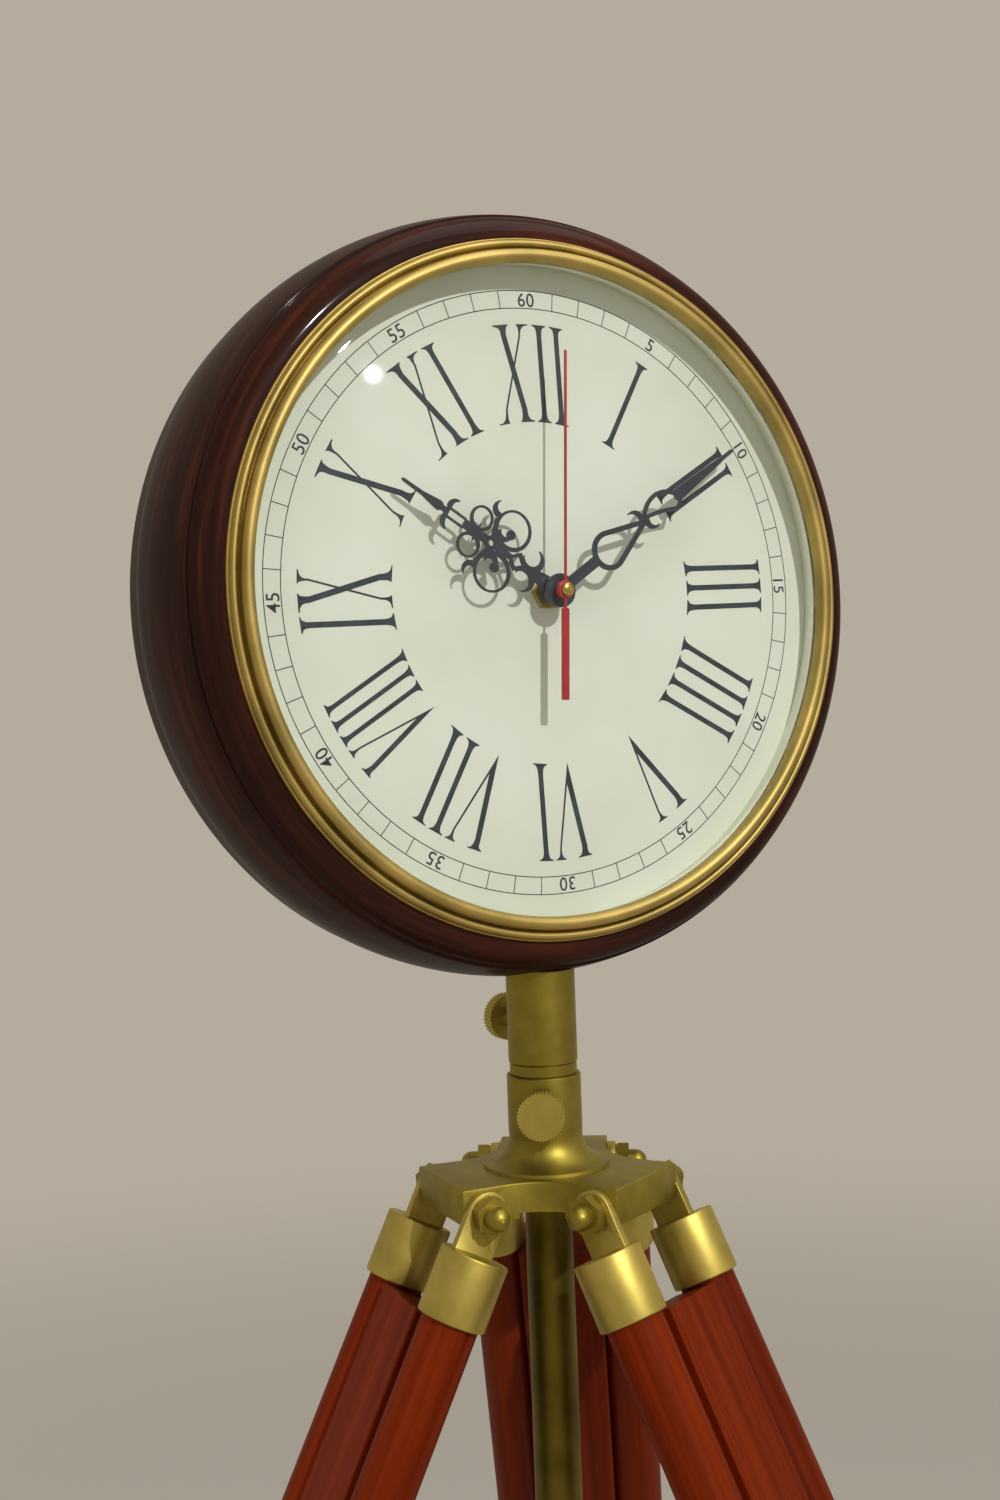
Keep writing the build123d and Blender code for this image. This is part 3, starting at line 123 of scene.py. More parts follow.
class Finish:
    """A material in the making. One method adds any node, and surface() joins the result to the output."""

    def __init__(self, name):
        self.material = bpy.data.materials.new(name)
        self.material.use_nodes = True
        self.tree = self.material.node_tree
        self.tree.nodes.clear()

    def node(self, kind, settings=None, inputs=None, output=0):
        """Add one node: its settings first, then the values or links of its sockets."""
        made = self.tree.nodes.new(kind)
        for key, value in (settings or {}).items():
            if key == "stops":
                self.set_stops(made.color_ramp, value)
            else:
                setattr(made, key, value)
        for key, value in (inputs or {}).items():
            if isinstance(value, Channel):
                self.tree.links.new(value.socket, made.inputs[key])
            else:
                made.inputs[key].default_value = value
        return Channel(self, made.outputs[output]) if made.outputs else None

    def set_stops(self, ramp, stops):
        while len(ramp.elements) < len(stops):
            ramp.elements.new(1)
        for element, (position, colour) in zip(ramp.elements, stops):
            element.position = position
            element.color = opaque(colour)

    def place(self):
        """Object coordinates as three numbers, in metres."""
        return self.split(self.node("ShaderNodeTexCoord", output="Object"))

    def split(self, vector):
        return [self.node("ShaderNodeSeparateXYZ", None, {0: vector}, axis) for axis in "XYZ"]

    def about_axis(self):
        """Across and up from the dial's axis, the distance from it, and the depth along it, in metres."""
        x, y, z = self.place()
        across, up = x - dial_centre.x, z - dial_centre.z
        return across, up, (across * across + up * up) ** 0.5, y

    def vector(self, x, y, z):
        return self.node("ShaderNodeCombineXYZ", None, {0: x, 1: y, 2: z})

    def noise(self, place, detail, roughness, fourth=None, distortion=0.0, scale=1.0):
        """Soft noise, whose features are about one unit long at a scale of 1."""
        dimensions = "3D" if fourth is None else "4D"
        inputs = {"Vector": place, "Scale": scale, "Detail": detail, "Roughness": roughness}
        inputs |= {"Distortion": distortion} if fourth is None else {"Distortion": distortion, "W": fourth}
        return self.node("ShaderNodeTexNoise", {"noise_dimensions": dimensions}, inputs)

    def speckle(self, scale, detail=2, roughness=0.5):
        """Noise that is alike in all directions, with about as many features to the metre as its scale."""
        there = self.node("ShaderNodeTexCoord", output="Object")
        return self.noise(there, detail, roughness, scale=scale)

    def ramp(self, value, *stops):
        return self.node("ShaderNodeValToRGB", {"stops": stops}, {0: value})

    def mix(self, factor, first, second):
        first, second = (each if isinstance(each, Channel) else opaque(each) for each in (first, second))
        settings = {"data_type": "RGBA", "blend_type": "MIX"}
        return self.node("ShaderNodeMix", settings, {0: factor, 6: first, 7: second}, 2)

    def bump(self, height, depth, strength=1.0):
        """A normal from a height of 0 to 1 that stands for a depth in metres."""
        inputs = {"Strength": strength, "Distance": depth, "Height": height}
        return self.node("ShaderNodeBump", None, inputs)

    def surface(self, inputs):
        """A principled surface as the material's result."""
        for key, value in inputs.items():
            if key.endswith("Color") and not isinstance(value, Channel):
                inputs[key] = opaque(value)
        return self.result(self.node("ShaderNodeBsdfPrincipled", None, inputs))

    def result(self, shader):
        self.node("ShaderNodeOutputMaterial", None, {"Surface": shader})
        return self.material


def opaque(colour):
    """A colour of three parts, with its alpha."""
    return (*colour[:3], 1.0)


def shade(hex_colour):
    """A colour as it looks on screen, given as six hex digits, in linear light."""
    parts = [int(hex_colour[at : at + 2], 16) / 255 for at in (0, 2, 4)]
    return tuple(part / 12.92 if part <= 0.04045 else ((part + 0.055) / 1.055) ** 2.4 for part in parts)


# Materials


def make_case_wood(look):
    """Polished dark wood whose grain follows the turned ring."""
    wood = Finish("polished_case_wood")
    across, up, radius, depth = wood.about_axis()
    east, north = across / radius, up / radius
    broad, streaks, pores = (
        wood.noise(wood.vector(east * along, north * along, radius * over), detail, roughness, depth * over)
        for along, over, detail, roughness in ((0.9, 60, 2, 0.5), (2.4, 320, 4, 0.6), (16, 1700, 2, 0.5))
    )
    colours = (0.30, look.case_dark), (0.56, look.case_mid), (0.80, look.case_red)
    tone = wood.ramp(streaks * 0.65 + broad * 0.45, *colours)
    pored = wood.mix(pores.between(0.60, 0.72) * 0.55, tone, look.case_dark)
    return wood.surface({
        "Base Color": pored,
        "Roughness": 0.34 + 0.12 * streaks,
        "Specular IOR Level": 0.02,
        "Coat Weight": 0.12,
        "Coat Roughness": 0.08,
        "Normal": wood.bump(broad * 0.7 + streaks * 0.3, 0.00025, 0.35),
    })


def make_leg_wood(look, name, direction, side):
    """Satin mahogany whose grain runs along one leg, given the leg's direction."""
    wood = Finish(f"{name}_leg_mahogany")
    there = wood.node("ShaderNodeTexCoord", output="Object")
    turn = direction.rotation_difference(Vector((0, 0, 1))).to_euler()
    along = wood.node("ShaderNodeMapping", {"vector_type": "POINT"}, {"Vector": there, "Rotation": turn})
    x, y, z = wood.split(along)
    seed = 3.0 * side
    broad = wood.noise(wood.vector(x * 45 + seed, y * 45, z * 3.2), 2, 0.5, None, 0.4)
    streaks = wood.noise(wood.vector(x * 260 + seed, y * 260, z * 7), 4, 0.6, None, 0.25)
    pores = wood.noise(wood.vector(x * 1500 + seed, y * 1500, z * 55), 2, 0.5)
    colours = (0.34, look.leg_dark), (0.55, look.leg_mid), (0.78, look.leg_red)
    tone = wood.ramp(streaks * 0.6 + broad * 0.5, *colours)
    pored = wood.mix(pores.between(0.58, 0.72) * 0.35, tone, look.leg_dark)
    return wood.surface({
        "Base Color": pored,
        "Roughness": 0.40 + 0.14 * streaks,
        "Specular IOR Level": 0.04,
        "Coat Weight": 0.06,
        "Coat Roughness": 0.2,
        "Normal": wood.bump(pores * 0.5 + streaks * 0.5, 0.00012, 0.5),
    })


def make_brass(name, gold, olive, roughness, lines=None):
    """Satin brass with cloudy tarnish, a fine grain and, with lines, the faint marks of turning.

    The lines go round the axis of the "dial" or round that of the "pole"."""
    brass = Finish(name)
    cloud = brass.speckle(38, 3, 0.6)
    grain = brass.speckle(2600)
    worn = brass.ramp(cloud, (0.35, olive), (0.62, gold))
    height = grain
    if lines:
        if lines == "dial":
            across, up, radius, depth = brass.about_axis()
            turned = brass.vector(radius * 2400, depth * 2400, 0.0)
        else:
            x, y, z = brass.place()
            turned = brass.vector(0.0, 0.0, z * 3200)
        height = grain * 0.5 + brass.noise(turned, 2, 0.6) * 0.5
    return brass.surface({
        "Base Color": worn,
        "Metallic": 1.0,
        "Roughness": roughness - 0.05 + cloud * 0.1 + grain * 0.05,
        "Normal": brass.bump(height, 0.00005, 0.30),
    })


def make_clouded(name, deep, colour, cloud, gloss, more, grain=None, relief=(0.00004, 0.25)):
    """A smooth finish whose colour, gloss and, with a grain, relief are faintly uneven.

    Its gloss is the lowest roughness and what the clouds add to it."""
    finish = Finish(name)
    clouds = finish.speckle(*cloud)
    tone = finish.mix(clouds.between(0.3, 0.7), deep, colour)
    inputs = {"Base Color": tone, "Roughness": gloss[0] + gloss[1] * clouds, **more}
    if grain:
        inputs["Normal"] = finish.bump(finish.speckle(grain), *relief)
    return finish.surface(inputs)


def make_dial_paint(look):
    """Pale matt dial paint with the faintest clouding, as of aged paper."""
    cloud, gloss, grain, relief = (18, 3, 0.55), (0.55, 0.08), 900, (0.00003, 0.2)
    colours = look.dial_shade, look.dial_paper
    more = {"Specular IOR Level": 0.3}
    return make_clouded("dial_paint_pale", *colours, cloud, gloss, more, grain, relief)


def make_rim_paint(look):
    cloud, gloss, more = (30, 3, 0.55), (0.42, 0.1), {"Specular IOR Level": 0.4}
    return make_clouded("inner_wall_cream", look.rim_shade, look.rim_cream, cloud, gloss, more)


def make_ink(look):
    ink = Finish("dial_ink")
    fade = ink.speckle(120)
    colour = ink.mix(fade.between(0.35, 0.75), look.ink, look.ink_worn)
    return ink.surface({"Base Color": colour, "Roughness": 0.45 + 0.1 * fade, "Specular IOR Level": 0.35})


def make_enamel(name, colour, deep, roughness, coat=0.0):
    """Smooth enamel or moulded plastic."""
    more = {"Coat Weight": coat, "Coat Roughness": 0.12}
    return make_clouded(name, deep, colour, (90,), (roughness, 0.08), more, 700)


def make_steel(name, colour, roughness):
    deep = tuple(part * 0.8 for part in colour)
    return make_clouded(name, deep, colour, (60,), (roughness, 0.08), {"Metallic": 1.0}, 2200)


def make_rubber(look):
    rubber = Finish("foot_rubber")
    x, y, z = rubber.place()
    cloud = rubber.speckle(50, 3, 0.6)
    grain = rubber.speckle(1400, 3, 0.6)
    dust = (1.0 - (z * 90).between(0.0, 1.0)) * cloud
    tone = rubber.mix(dust * 0.8, look.rubber, look.rubber_dust)
    return rubber.surface(
        {"Base Color": tone, "Roughness": 0.72 + 0.15 * cloud, "Normal": rubber.bump(grain, 0.0001, 0.4)}
    )


def make_clear_glass():
    """Thin clear glass: it lets the light straight through and mirrors more towards its edges."""
    glass = Finish("clear_glass_dome")
    haze = glass.speckle(22, 3, 0.55)
    clear, white = opaque(shade("FAFAF9")), opaque(shade("FFFFFF"))
    through = glass.node("ShaderNodeBsdfTransparent", None, {"Color": clear})
    gloss = {"Base Color": white, "Metallic": 1.0, "Roughness": 0.015 + 0.01 * haze}
    mirror = glass.node("ShaderNodeBsdfPrincipled", None, gloss)
    facing = glass.node("ShaderNodeLayerWeight", None, {"Blend": 0.5}, "Facing")
    ahead, aslant = 0.022, 0.35
    mirrored = ahead + aslant * facing**4
    return glass.result(glass.node("ShaderNodeMixShader", None, {0: mirrored, 1: through, 2: mirror}))


# Geometry


def placed_tree(name, inputs, nodes, links):
    """A node tree that makes something round the origin, then turns, places, realizes and paints it.

    Inputs are given by name and type, nodes by name, type and settings; what they make goes to "move"."""
    tree = bpy.data.node_groups.new(name, "GeometryNodeTree")
    inputs = inputs | {"Centre": "Vector", "Turn": "Vector", "Finish": "Material"}
    for label, kind in inputs.items():
        tree.interface.new_socket(label, in_out="INPUT", socket_type=f"NodeSocket{kind}")
    tree.interface.new_socket("Made", in_out="OUTPUT", socket_type="NodeSocketGeometry")
    nodes = (
        *nodes,
        ("given", "NodeGroupInput", {}),
        ("move", "GeometryNodeTransform", {}),
        ("real", "GeometryNodeRealizeInstances", {}),
        ("paint", "GeometryNodeSetMaterial", {}),
        ("made", "NodeGroupOutput", {}),
    )
    links = (
        *links,
        ("given", "Centre", "move", "Translation"),
        ("given", "Turn", "move", "Rotation"),
        ("move", "Geometry", "real", "Geometry"),
        ("real", "Geometry", "paint", "Geometry"),
        ("given", "Finish", "paint", "Material"),
        ("paint", "Geometry", "made", "Made"),
    )
    placed = {}
    for key, kind, settings in nodes:
        placed[key] = tree.nodes.new(kind)
        for setting, value in settings.items():
            setattr(placed[key], setting, value)
    for source, socket, target, target_socket in links:
        tree.links.new(placed[source].outputs[socket], placed[target].inputs[target_socket])
    return tree, placed


def turning_tree():
    """A node tree that turns a profile, drawn as a closed chain of edges, once round an axis."""
    inputs = {"Profile": "Geometry", "Steps": "Int", "Radius": "Float"}
    nodes = (
        ("chain", "GeometryNodeMeshToCurve", {}),
        ("circle", "GeometryNodeCurvePrimitiveCircle", {"mode": "RADIUS"}),
        ("sweep", "GeometryNodeCurveToMesh", {}),
        ("smooth", "GeometryNodeSetShadeSmooth", {}),
    )
    links = (
        ("given", "Profile", "chain", "Mesh"),
        ("given", "Steps", "circle", "Resolution"),
        ("given", "Radius", "circle", "Radius"),
        ("circle", "Curve", "sweep", "Curve"),
        ("chain", "Curve", "sweep", "Profile Curve"),
        ("sweep", "Mesh", "smooth", "Geometry"),
        ("smooth", "Geometry", "move", "Geometry"),
    )
    return placed_tree("turning", inputs, nodes, links)[0]


def run_tree(piece, tree, inputs):
    """Run a node tree on a piece with the named inputs, and turn the result into its plain mesh."""
    modifier = piece.modifiers.new(tree.name, "NODES")
    modifier.node_group = tree
    for item in tree.interface.items_tree:
        if item.in_out == "INPUT" and item.name in inputs:
            modifier[item.identifier] = inputs[item.name]
    return settle(piece)


def plain_mesh(thing):
    """What an object's text or modifiers make, as one plain mesh."""
    evaluated = thing.evaluated_get(bpy.context.evaluated_depsgraph_get())
    return bpy.data.meshes.new_from_object(evaluated)


def settle(piece):
    """Give a piece the plain mesh that its modifiers make."""
    mesh = plain_mesh(piece)
    mesh.name = piece.name
    piece.modifiers.clear()
    piece.data = mesh
    return piece


@contextmanager
def in_work(mesh):
    """A mesh as a bmesh, written back at the end."""
    work = bmesh.new()
    work.from_mesh(mesh)
    yield work
    work.to_mesh(mesh)
    work.free()


def new_object(name, data):
    """A new object in the scene, at the origin."""
    made = bpy.data.objects.new(name, data)
    bpy.context.scene.collection.objects.link(made)
    return made


def new_piece(name, points, edges=(), faces=()):
    mesh = bpy.data.meshes.new(name)
    mesh.from_pydata(points, edges, faces)
    return new_object(name, mesh)


def cover(piece, finish):
    """Give a piece one finish all over."""
    piece.data.materials.clear()
    piece.data.materials.append(finish)
    return piece


def clean(piece, merge=1e-7):
    """Merge doubled points and turn every face of a closed shape outwards."""
    with in_work(piece.data) as work:
        bmesh.ops.remove_doubles(work, verts=work.verts, dist=merge)
        bmesh.ops.recalc_face_normals(work, faces=work.faces)
    return piece


def round_corners(corners):
    """A closed profile from corners of (radius, height) or (radius, height, rounding)."""
    profile = []
    for at, (x, y, *rounding) in enumerate(corners):
        if not rounding:
            profile.append((x, y))
            continue
        here = Vector((x, y))
        before = Vector(corners[at - 1][:2]) - here
        after = Vector(corners[(at + 1) % len(corners)][:2]) - here
        reach = min(*rounding, before.length * 0.45, after.length * 0.45)
        start = here + before.normalized() * reach
        end = here + after.normalized() * reach
        for step in range(CORNER_STEPS + 1):
            share = step / CORNER_STEPS
            point = start * (1 - share) ** 2 + here * 2 * share * (1 - share) + end * share**2
            profile.append(tuple(point))
    return profile


def arc(start, end, sagitta, steps):
    """Corners inside an arc from start to end, without its ends; it swells to its left by the sagitta."""
    start, end = Vector(start), Vector(end)
    chord = end - start
    half = chord.length / 2
    left = Vector((-chord.y, chord.x)).normalized()
    radius = (half * half + sagitta * sagitta) / (2 * abs(sagitta))
    side = 1 if sagitta > 0 else -1
    centre = (start + end) / 2 + left * (abs(sagitta) - radius) * side
    first, last = start - centre, end - centre
    begin = atan2(first.y, first.x)
    sweep = (atan2(last.y, last.x) - begin + pi) % (2 * pi) - pi
    angles = [begin + sweep * step / steps for step in range(1, steps)]
    return [(centre.x + radius * cos(angle), centre.y + radius * sin(angle)) for angle in angles]


def box_corners(inner, outer, back, front):
    """Corners of a rectangular profile."""
    return [(inner, back), (outer, back), (outer, front), (inner, front)]


def bead(inner, outer, foot, rise, steps):
    """Corners over a rounded bead, from its inner edge to its outer one."""
    middle, half = (inner + outer) / 2, (outer - inner) / 2
    angles = [pi * (1 - at / steps) for at in range(steps + 1)]
    return [(middle + half * cos(angle), foot + rise * sin(angle)) for angle in angles]


def turn_ring(name, corners, finish, steps=320):
    """A closed ring about the dial's axis, from its profile's corners in millimetres."""
    profile = round_corners(corners)
    middle = sum(radius for radius, height in profile) / len(profile)
    points = [((radius - middle) * MM, height * MM, 0) for radius, height in profile]
    edges = [(at, (at + 1) % len(points)) for at in range(len(points))]
    inputs = {
        "Steps": steps,
        "Radius": middle * MM,
        "Centre": dial_centre,
        "Turn": Vector((-pi / 2, 0, 0)),
        "Finish": finish,
    }
    tree = bpy.data.node_groups.get("turning") or turning_tree()
    return clean(run_tree(new_piece(name, points, edges), tree, inputs))


def join(name, *pieces):
    """One piece from several, with the first one's material."""
    mesh = bpy.data.meshes.new(name)
    with in_work(mesh) as work:
        for piece in pieces:
            work.from_mesh(piece.data)
    mesh.materials.append(pieces[0].data.materials[0])
    for piece in pieces:
        bpy.data.objects.remove(piece)
    return new_object(name, mesh)


def soften(node, finish):
    """A CAD node's shape with its sharp edges bevelled, so that they catch the light."""
    piece = clean(new_object(f"soft_{node}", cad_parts[node].data.copy()), 1e-6)
    with in_work(piece.data) as work:
        bmesh.ops.dissolve_limit(work, angle_limit=radians(0.5), verts=work.verts, edges=work.edges)
    bevel = piece.modifiers.new("bevel", "BEVEL")
    bevel.width = SOFT_EDGE * MM
    bevel.segments = 2
    bevel.limit_method = "ANGLE"
    bevel.angle_limit = radians(40)
    bevel.use_clamp_overlap = True
    cover(settle(piece), finish)
    piece.data.shade_smooth()
    piece.data.set_sharp_from_angle(angle=radians(35))
    return clean(piece)


def paint_node(finish, *nodes):
    """Give CAD nodes a material in place of their plain one."""
    for name in nodes:
        cover(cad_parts[name], finish)


# Dial print


def on_dial(x, y, height, turn):
    """A point of the print: x and y in millimetres on the dial, turned clockwise in degrees."""
    angle = radians(turn)
    across = x * cos(angle) + y * sin(angle)
    up = y * cos(angle) - x * sin(angle)
    return dial_centre + Vector((across * MM, -height * MM, up * MM))


def flare(tip, neck, circle, depth, look):
    """One side of a serif, from its tip on a circle to the stem's neck; depth is positive outwards."""
    sign = 1 if depth > 0 else -1
    tip_y = sqrt(circle**2 - tip**2)
    edge_y = tip_y - sign * look.serif_thickness
    inset = 0.25 if tip > neck else -0.25
    neck_y = circle - depth
    points = [(tip, tip_y)]
    for step in range(FLARE_STEPS + 1):
        share = step / FLARE_STEPS
        across = tip - inset + (neck - tip + inset) * (1 - (1 - share) ** 2.2)
        points.append((across, edge_y + (neck_y - edge_y) * share**1.9))
    return points


def stem_outline(look, top, foot, width, top_serif, foot_serif):
    """Outline of a straight stroke whose two serifs follow the circles that the numeral stands between."""
    outer, inner, bracket = look.numeral_outer, look.numeral_inner, look.serif_bracket
    lean = (top - foot) / (outer - inner)

    def side(sign):
        upper_neck = top - lean * bracket + sign * width / 2
        lower_neck = foot + lean * bracket + sign * width / 2
        upper = flare(top + sign * top_serif / 2, upper_neck, outer, bracket, look)
        lower = flare(foot + sign * foot_serif / 2, lower_neck, inner, -bracket, look)
        return upper + lower[::-1]

    return side(1) + side(-1)[::-1]


def pointed_outlines(look, left_top, apex, right_top, thick, thin, left_serif, right_serif):
    """Outlines of the thick and the thin stroke of a V, which share its apex."""
    outer, inner, bracket = look.numeral_outer, look.numeral_inner, look.serif_bracket
    foot_y = sqrt(inner**2 - apex**2)
    neck_y = outer - bracket
    rise = neck_y - foot_y
    left_outer, right_outer = left_top - thick / 2, right_top + thin / 2
    left_slope = (left_outer - apex) / rise
    right_slope = (right_outer - apex) / rise
    meet_y = foot_y + (thick + thin) / (right_slope - left_slope)
    meet = (apex + thick + left_slope * (meet_y - foot_y), meet_y)
    foot = (apex, foot_y)
    left_tips = [left_top + sign * left_serif / 2 for sign in (-1, 1)]
    right_tips = [right_top + sign * right_serif / 2 for sign in (-1, 1)]
    thick_stroke = flare(left_tips[1], left_outer + thick, outer, bracket, look) + [meet, foot]
    thick_stroke += flare(left_tips[0], left_outer, outer, bracket, look)[::-1]
    thin_stroke = flare(right_tips[1], right_outer, outer, bracket, look) + [foot, meet]
    thin_stroke += flare(right_tips[0], right_outer - thin, outer, bracket, look)[::-1]
    return thick_stroke, thin_stroke


def slab(low, high):
    """Points and faces of a flat slab between two outlines of as many points each."""
    count = len(low)
    faces = [tuple(range(count - 1, -1, -1)), tuple(range(count, 2 * count))]
    faces += [(at, (at + 1) % count, count + (at + 1) % count, count + at) for at in range(count)]
    return [*low, *high], faces


def plate(outline, thickness, base, turn):
    """Points and faces of a thin flat plate on the dial, from its outline."""
    return slab(*[[on_dial(x, y, height, turn) for x, y in outline] for height in (base, base + thickness)])


def join_plates(name, plates, finish):
    """One piece from several plates."""
    points, faces = [], []
    for plate_points, plate_faces in plates:
        start = len(points)
        points += plate_points
        faces += [tuple(start + at for at in face) for face in plate_faces]
    return cover(clean(new_piece(name, points, (), faces), 1e-8), finish)


def stems(*places, kind="stem"):
    """Upright strokes at these places across, in millimetres."""
    return tuple((place, place, kind) for place in places)


def cross(top, foot, thin_top, thin_foot):
    """The thick and the thin stroke of an X."""
    return (top, foot, "thick_cross"), (thin_top, thin_foot, "thin_cross")


# Strokes of each numeral: a V is (left top, apex, right top, kind)
NUMERALS = {
    1: stems(0),
    2: stems(-4, 4),
    3: stems(-8, 0, 8),
    4: stems(-12, -4, 4, 12),
    5: ((-5.2, 0.4, 5.9, "pointed"),),
    6: ((-9.1, -3.7, 2.0, "pointed"), *stems(8.8)),
    7: ((-13.4, -7.8, -2.2, "pointed"), *stems(4.6, 12.6)),
    8: ((-14.0, -9.5, -5.0, "small_pointed"), *stems(0.6, 7.1, 13.5, kind="small_stem")),
    9: (*stems(-8.7), *cross(-0.6, 9.3, 9.2, -1.2)),
    10: cross(-4.6, 5.2, 5.2, -5.4),
    11: (*cross(-8.5, 1.2, 1.2, -9.4), *stems(8.9)),
    12: (*cross(-12.4, -2.7, -2.7, -13.3), *stems(4.9, 12.7)),
}

# Each stem's width, top serif and foot serif; each V's thick and thin width, left serif and right serif
STROKES = {
    "stem": (2.2, 6.4, 6.4),
    "small_stem": (1.8, 5.2, 5.2),
    "thick_cross": (2.4, 7.2, 6.4),
    "thin_cross": (0.8, 5.4, 5.0),
    "pointed": (2.4, 0.8, 6.4, 4.8),
    "small_pointed": (2.0, 0.7, 5.0, 3.8),
}


def numeral_plates(look):
    plates = []
    for hour, strokes in NUMERALS.items():
        outlines = []
        for *places, kind in strokes:
            if kind.endswith("pointed"):
                outlines += pointed_outlines(look, *places, *STROKES[kind])
            else:
                outlines.append(stem_outline(look, *places, *STROKES[kind]))
        for at, outline in enumerate(outlines):
            thickness = look.ink_thickness * (2 - 0.06 * at)  # So no two faces lie in one plane
            plates.append(plate(outline, thickness, -look.ink_thickness, hour * 30 + look.print_turn))
    return plates


def track_tree():
    """A node tree for the minute track: a bar at each minute that has no number, round the dial's axis."""
    inputs = {"Bar": "Geometry", "Minutes": "Int", "Step of numbers": "Int", "Radius": "Float"}
    nodes = (
        ("circle", "GeometryNodeMeshCircle", {}),
        ("index", "GeometryNodeInputIndex", {}),
        ("rest", "ShaderNodeMath", {"operation": "MODULO"}),
        ("plain", "FunctionNodeCompare", {"data_type": "FLOAT", "operation": "GREATER_THAN"}),
        ("share", "ShaderNodeMath", {"operation": "DIVIDE"}),
        ("angle", "ShaderNodeMath", {"operation": "MULTIPLY"}),
        ("turn", "ShaderNodeCombineXYZ", {}),
        ("spread", "GeometryNodeInstanceOnPoints", {}),
    )
    links = (
        ("given", "Minutes", "circle", "Vertices"),
        ("given", "Radius", "circle", "Radius"),
        ("circle", "Mesh", "spread", "Points"),
        ("index", "Index", "rest", 0),
        ("given", "Step of numbers", "rest", 1),
        ("rest", 0, "plain", "A"),
        ("plain", "Result", "spread", "Selection"),
        ("given", "Bar", "spread", "Instance"),
        ("index", "Index", "share", 0),
        ("given", "Minutes", "share", 1),
        ("share", 0, "angle", 0),
        ("angle", 0, "turn", "Z"),
        ("turn", "Vector", "spread", "Rotation"),
        ("spread", "Instances", "move", "Geometry"),
    )
    tree, placed = placed_tree("minute_track", inputs, nodes, links)
    placed["plain"].inputs["B"].default_value = 0.5
    placed["angle"].inputs[1].default_value = 2 * pi
    return tree


def number_piece(look, minute, finish):
    """One minute number, upright as seen from the dial's centre."""
    name = f"minute_{minute}"
    text = bpy.data.curves.new(name, "FONT")
    text.body = str(minute)
    text.size = look.number_height * MM * FONT_SIZE
    text.align_x = "CENTER"
    text.space_character = 1.05
    text.extrude = look.ink_thickness * MM
    text.offset = look.number_weight * MM
    written = new_object(name, text)
    mesh = plain_mesh(written)
    bpy.data.objects.remove(written)
    foot = look.number_radius - look.number_height / 2
    for point in mesh.vertices:
        across, up, out = point.co / MM
        point.co = on_dial(across, up + foot, out, minute * 6 + look.print_turn)
    return cover(new_object(name, mesh), finish)


# Settings


def colour_setting(name, description, hex_colour):
    return FloatVectorProperty(
        name=name, description=description, subtype="COLOR", size=3, min=0, max=1, default=shade(hex_colour)
    )


def number_setting(name, description, default, subtype="NONE"):
    return FloatProperty(name=name, description=description, default=default, subtype=subtype)


class ClockWood(bpy.types.PropertyGroup):
    """Colours of the turned case and of the legs."""

    case_dark: colour_setting("Case dark", "Darkest streaks of the case", "120705")
    case_mid: colour_setting("Case middle", "Main colour of the case", "2C150E")
    case_red: colour_setting("Case red", "Red-brown streaks of the case", "522416")
    leg_dark: colour_setting("Leg dark", "Darkest grain of the legs", "471200")
    leg_mid: colour_setting("Leg middle", "Main colour of the legs", "681D01")
    leg_red: colour_setting("Leg red", "Brightest grain of the legs", "802A03")


class ClockBrass(bpy.types.PropertyGroup):
    """Colours and finish of the brass."""

    brass_gold: colour_setting("Gold", "Clean brass", "C6B25C")
    brass_olive: colour_setting("Olive", "Clouds on clean brass", "AA9A4C")
    bezel_gold: colour_setting("Bezel", "Brass of the bezel", "BAA25F")
    bezel_olive: colour_setting("Bezel clouds", "Clouds on the bezel", "A18E52")
    # The aged colours are clean brass darkened as painted shade, for the castings and collar in the shade
    # under the case.
    aged_gold: colour_setting("Shaded gold", "Brass of the castings, darkened as painted shade", "A2923F")
    aged_olive: colour_setting("Shaded olive", "Clouds on the shaded brass", "8A7C32")
    # The pole colours are brass darkened further as painted shade, for the pole in the shade under the
    # case.
    pole_gold: colour_setting("Pole", "Brass of the pole, darkened as painted shade", "786A28")
    pole_olive: colour_setting("Pole clouds", "Clouds on the shaded pole", "5E511A")
    brass_roughness: number_setting("Roughness", "Roughness of satin brass", 0.46)
    bezel_roughness: number_setting("Bezel roughness", "Roughness of the bezel", 0.50)
    cap_roughness: number_setting("Cap roughness", "Roughness of the second hand's cap", 0.24)


class ClockDial(bpy.types.PropertyGroup):
    """Sizes in millimetres and colours of the dial print."""

    dial_paper: colour_setting("Paper", "Dial paint", "DCE1D2")
    dial_shade: colour_setting("Paper shade", "Clouding of the dial paint", "D4DAC9")
    rim_cream: colour_setting("Rim", "Inner wall between dial and glass", "EFF0E2")
    rim_shade: colour_setting("Rim shade", "Clouding of the inner wall", "E6E7D6")
    ink: colour_setting("Ink", "Print on the dial", "1E2A31")
    ink_worn: colour_setting("Worn ink", "Thin places of the print", "2F3E47")
    print_turn: number_setting("Print turn", "Turn of the print on the dial, clockwise", -2.4)
    numeral_outer: number_setting("Numeral tops", "Radius of the numerals' tops", 105.6)
    numeral_inner: number_setting("Numeral feet", "Radius of the numerals' feet", 67.4)
    serif_thickness: number_setting("Serif", "Thickness of a serif's tip", 0.55)
    serif_bracket: number_setting("Bracket", "Height of the curve into a serif", 4.6)
    track_inner: number_setting("Track inside", "Radius of the track's inner line", 111.8)
    track_outer: number_setting("Track outside", "Radius of the track's outer line", 118.7)
    line_width: number_setting("Line", "Width of the track's lines", 0.36)
    number_radius: number_setting("Numbers", "Radius of the minute numbers", 115.25)
    number_height: number_setting("Number height", "Height of the minute numbers", 5.5)
    number_weight: number_setting("Number weight", "Growth of each number's outline", 0.04)
    ink_thickness: number_setting("Ink", "Thickness of the print", 0.05)
    minutes: IntProperty(name="Minutes", description="Minutes round the dial", default=60)
    number_step: IntProperty(name="Number step", description="Minutes between two numbers", default=5)


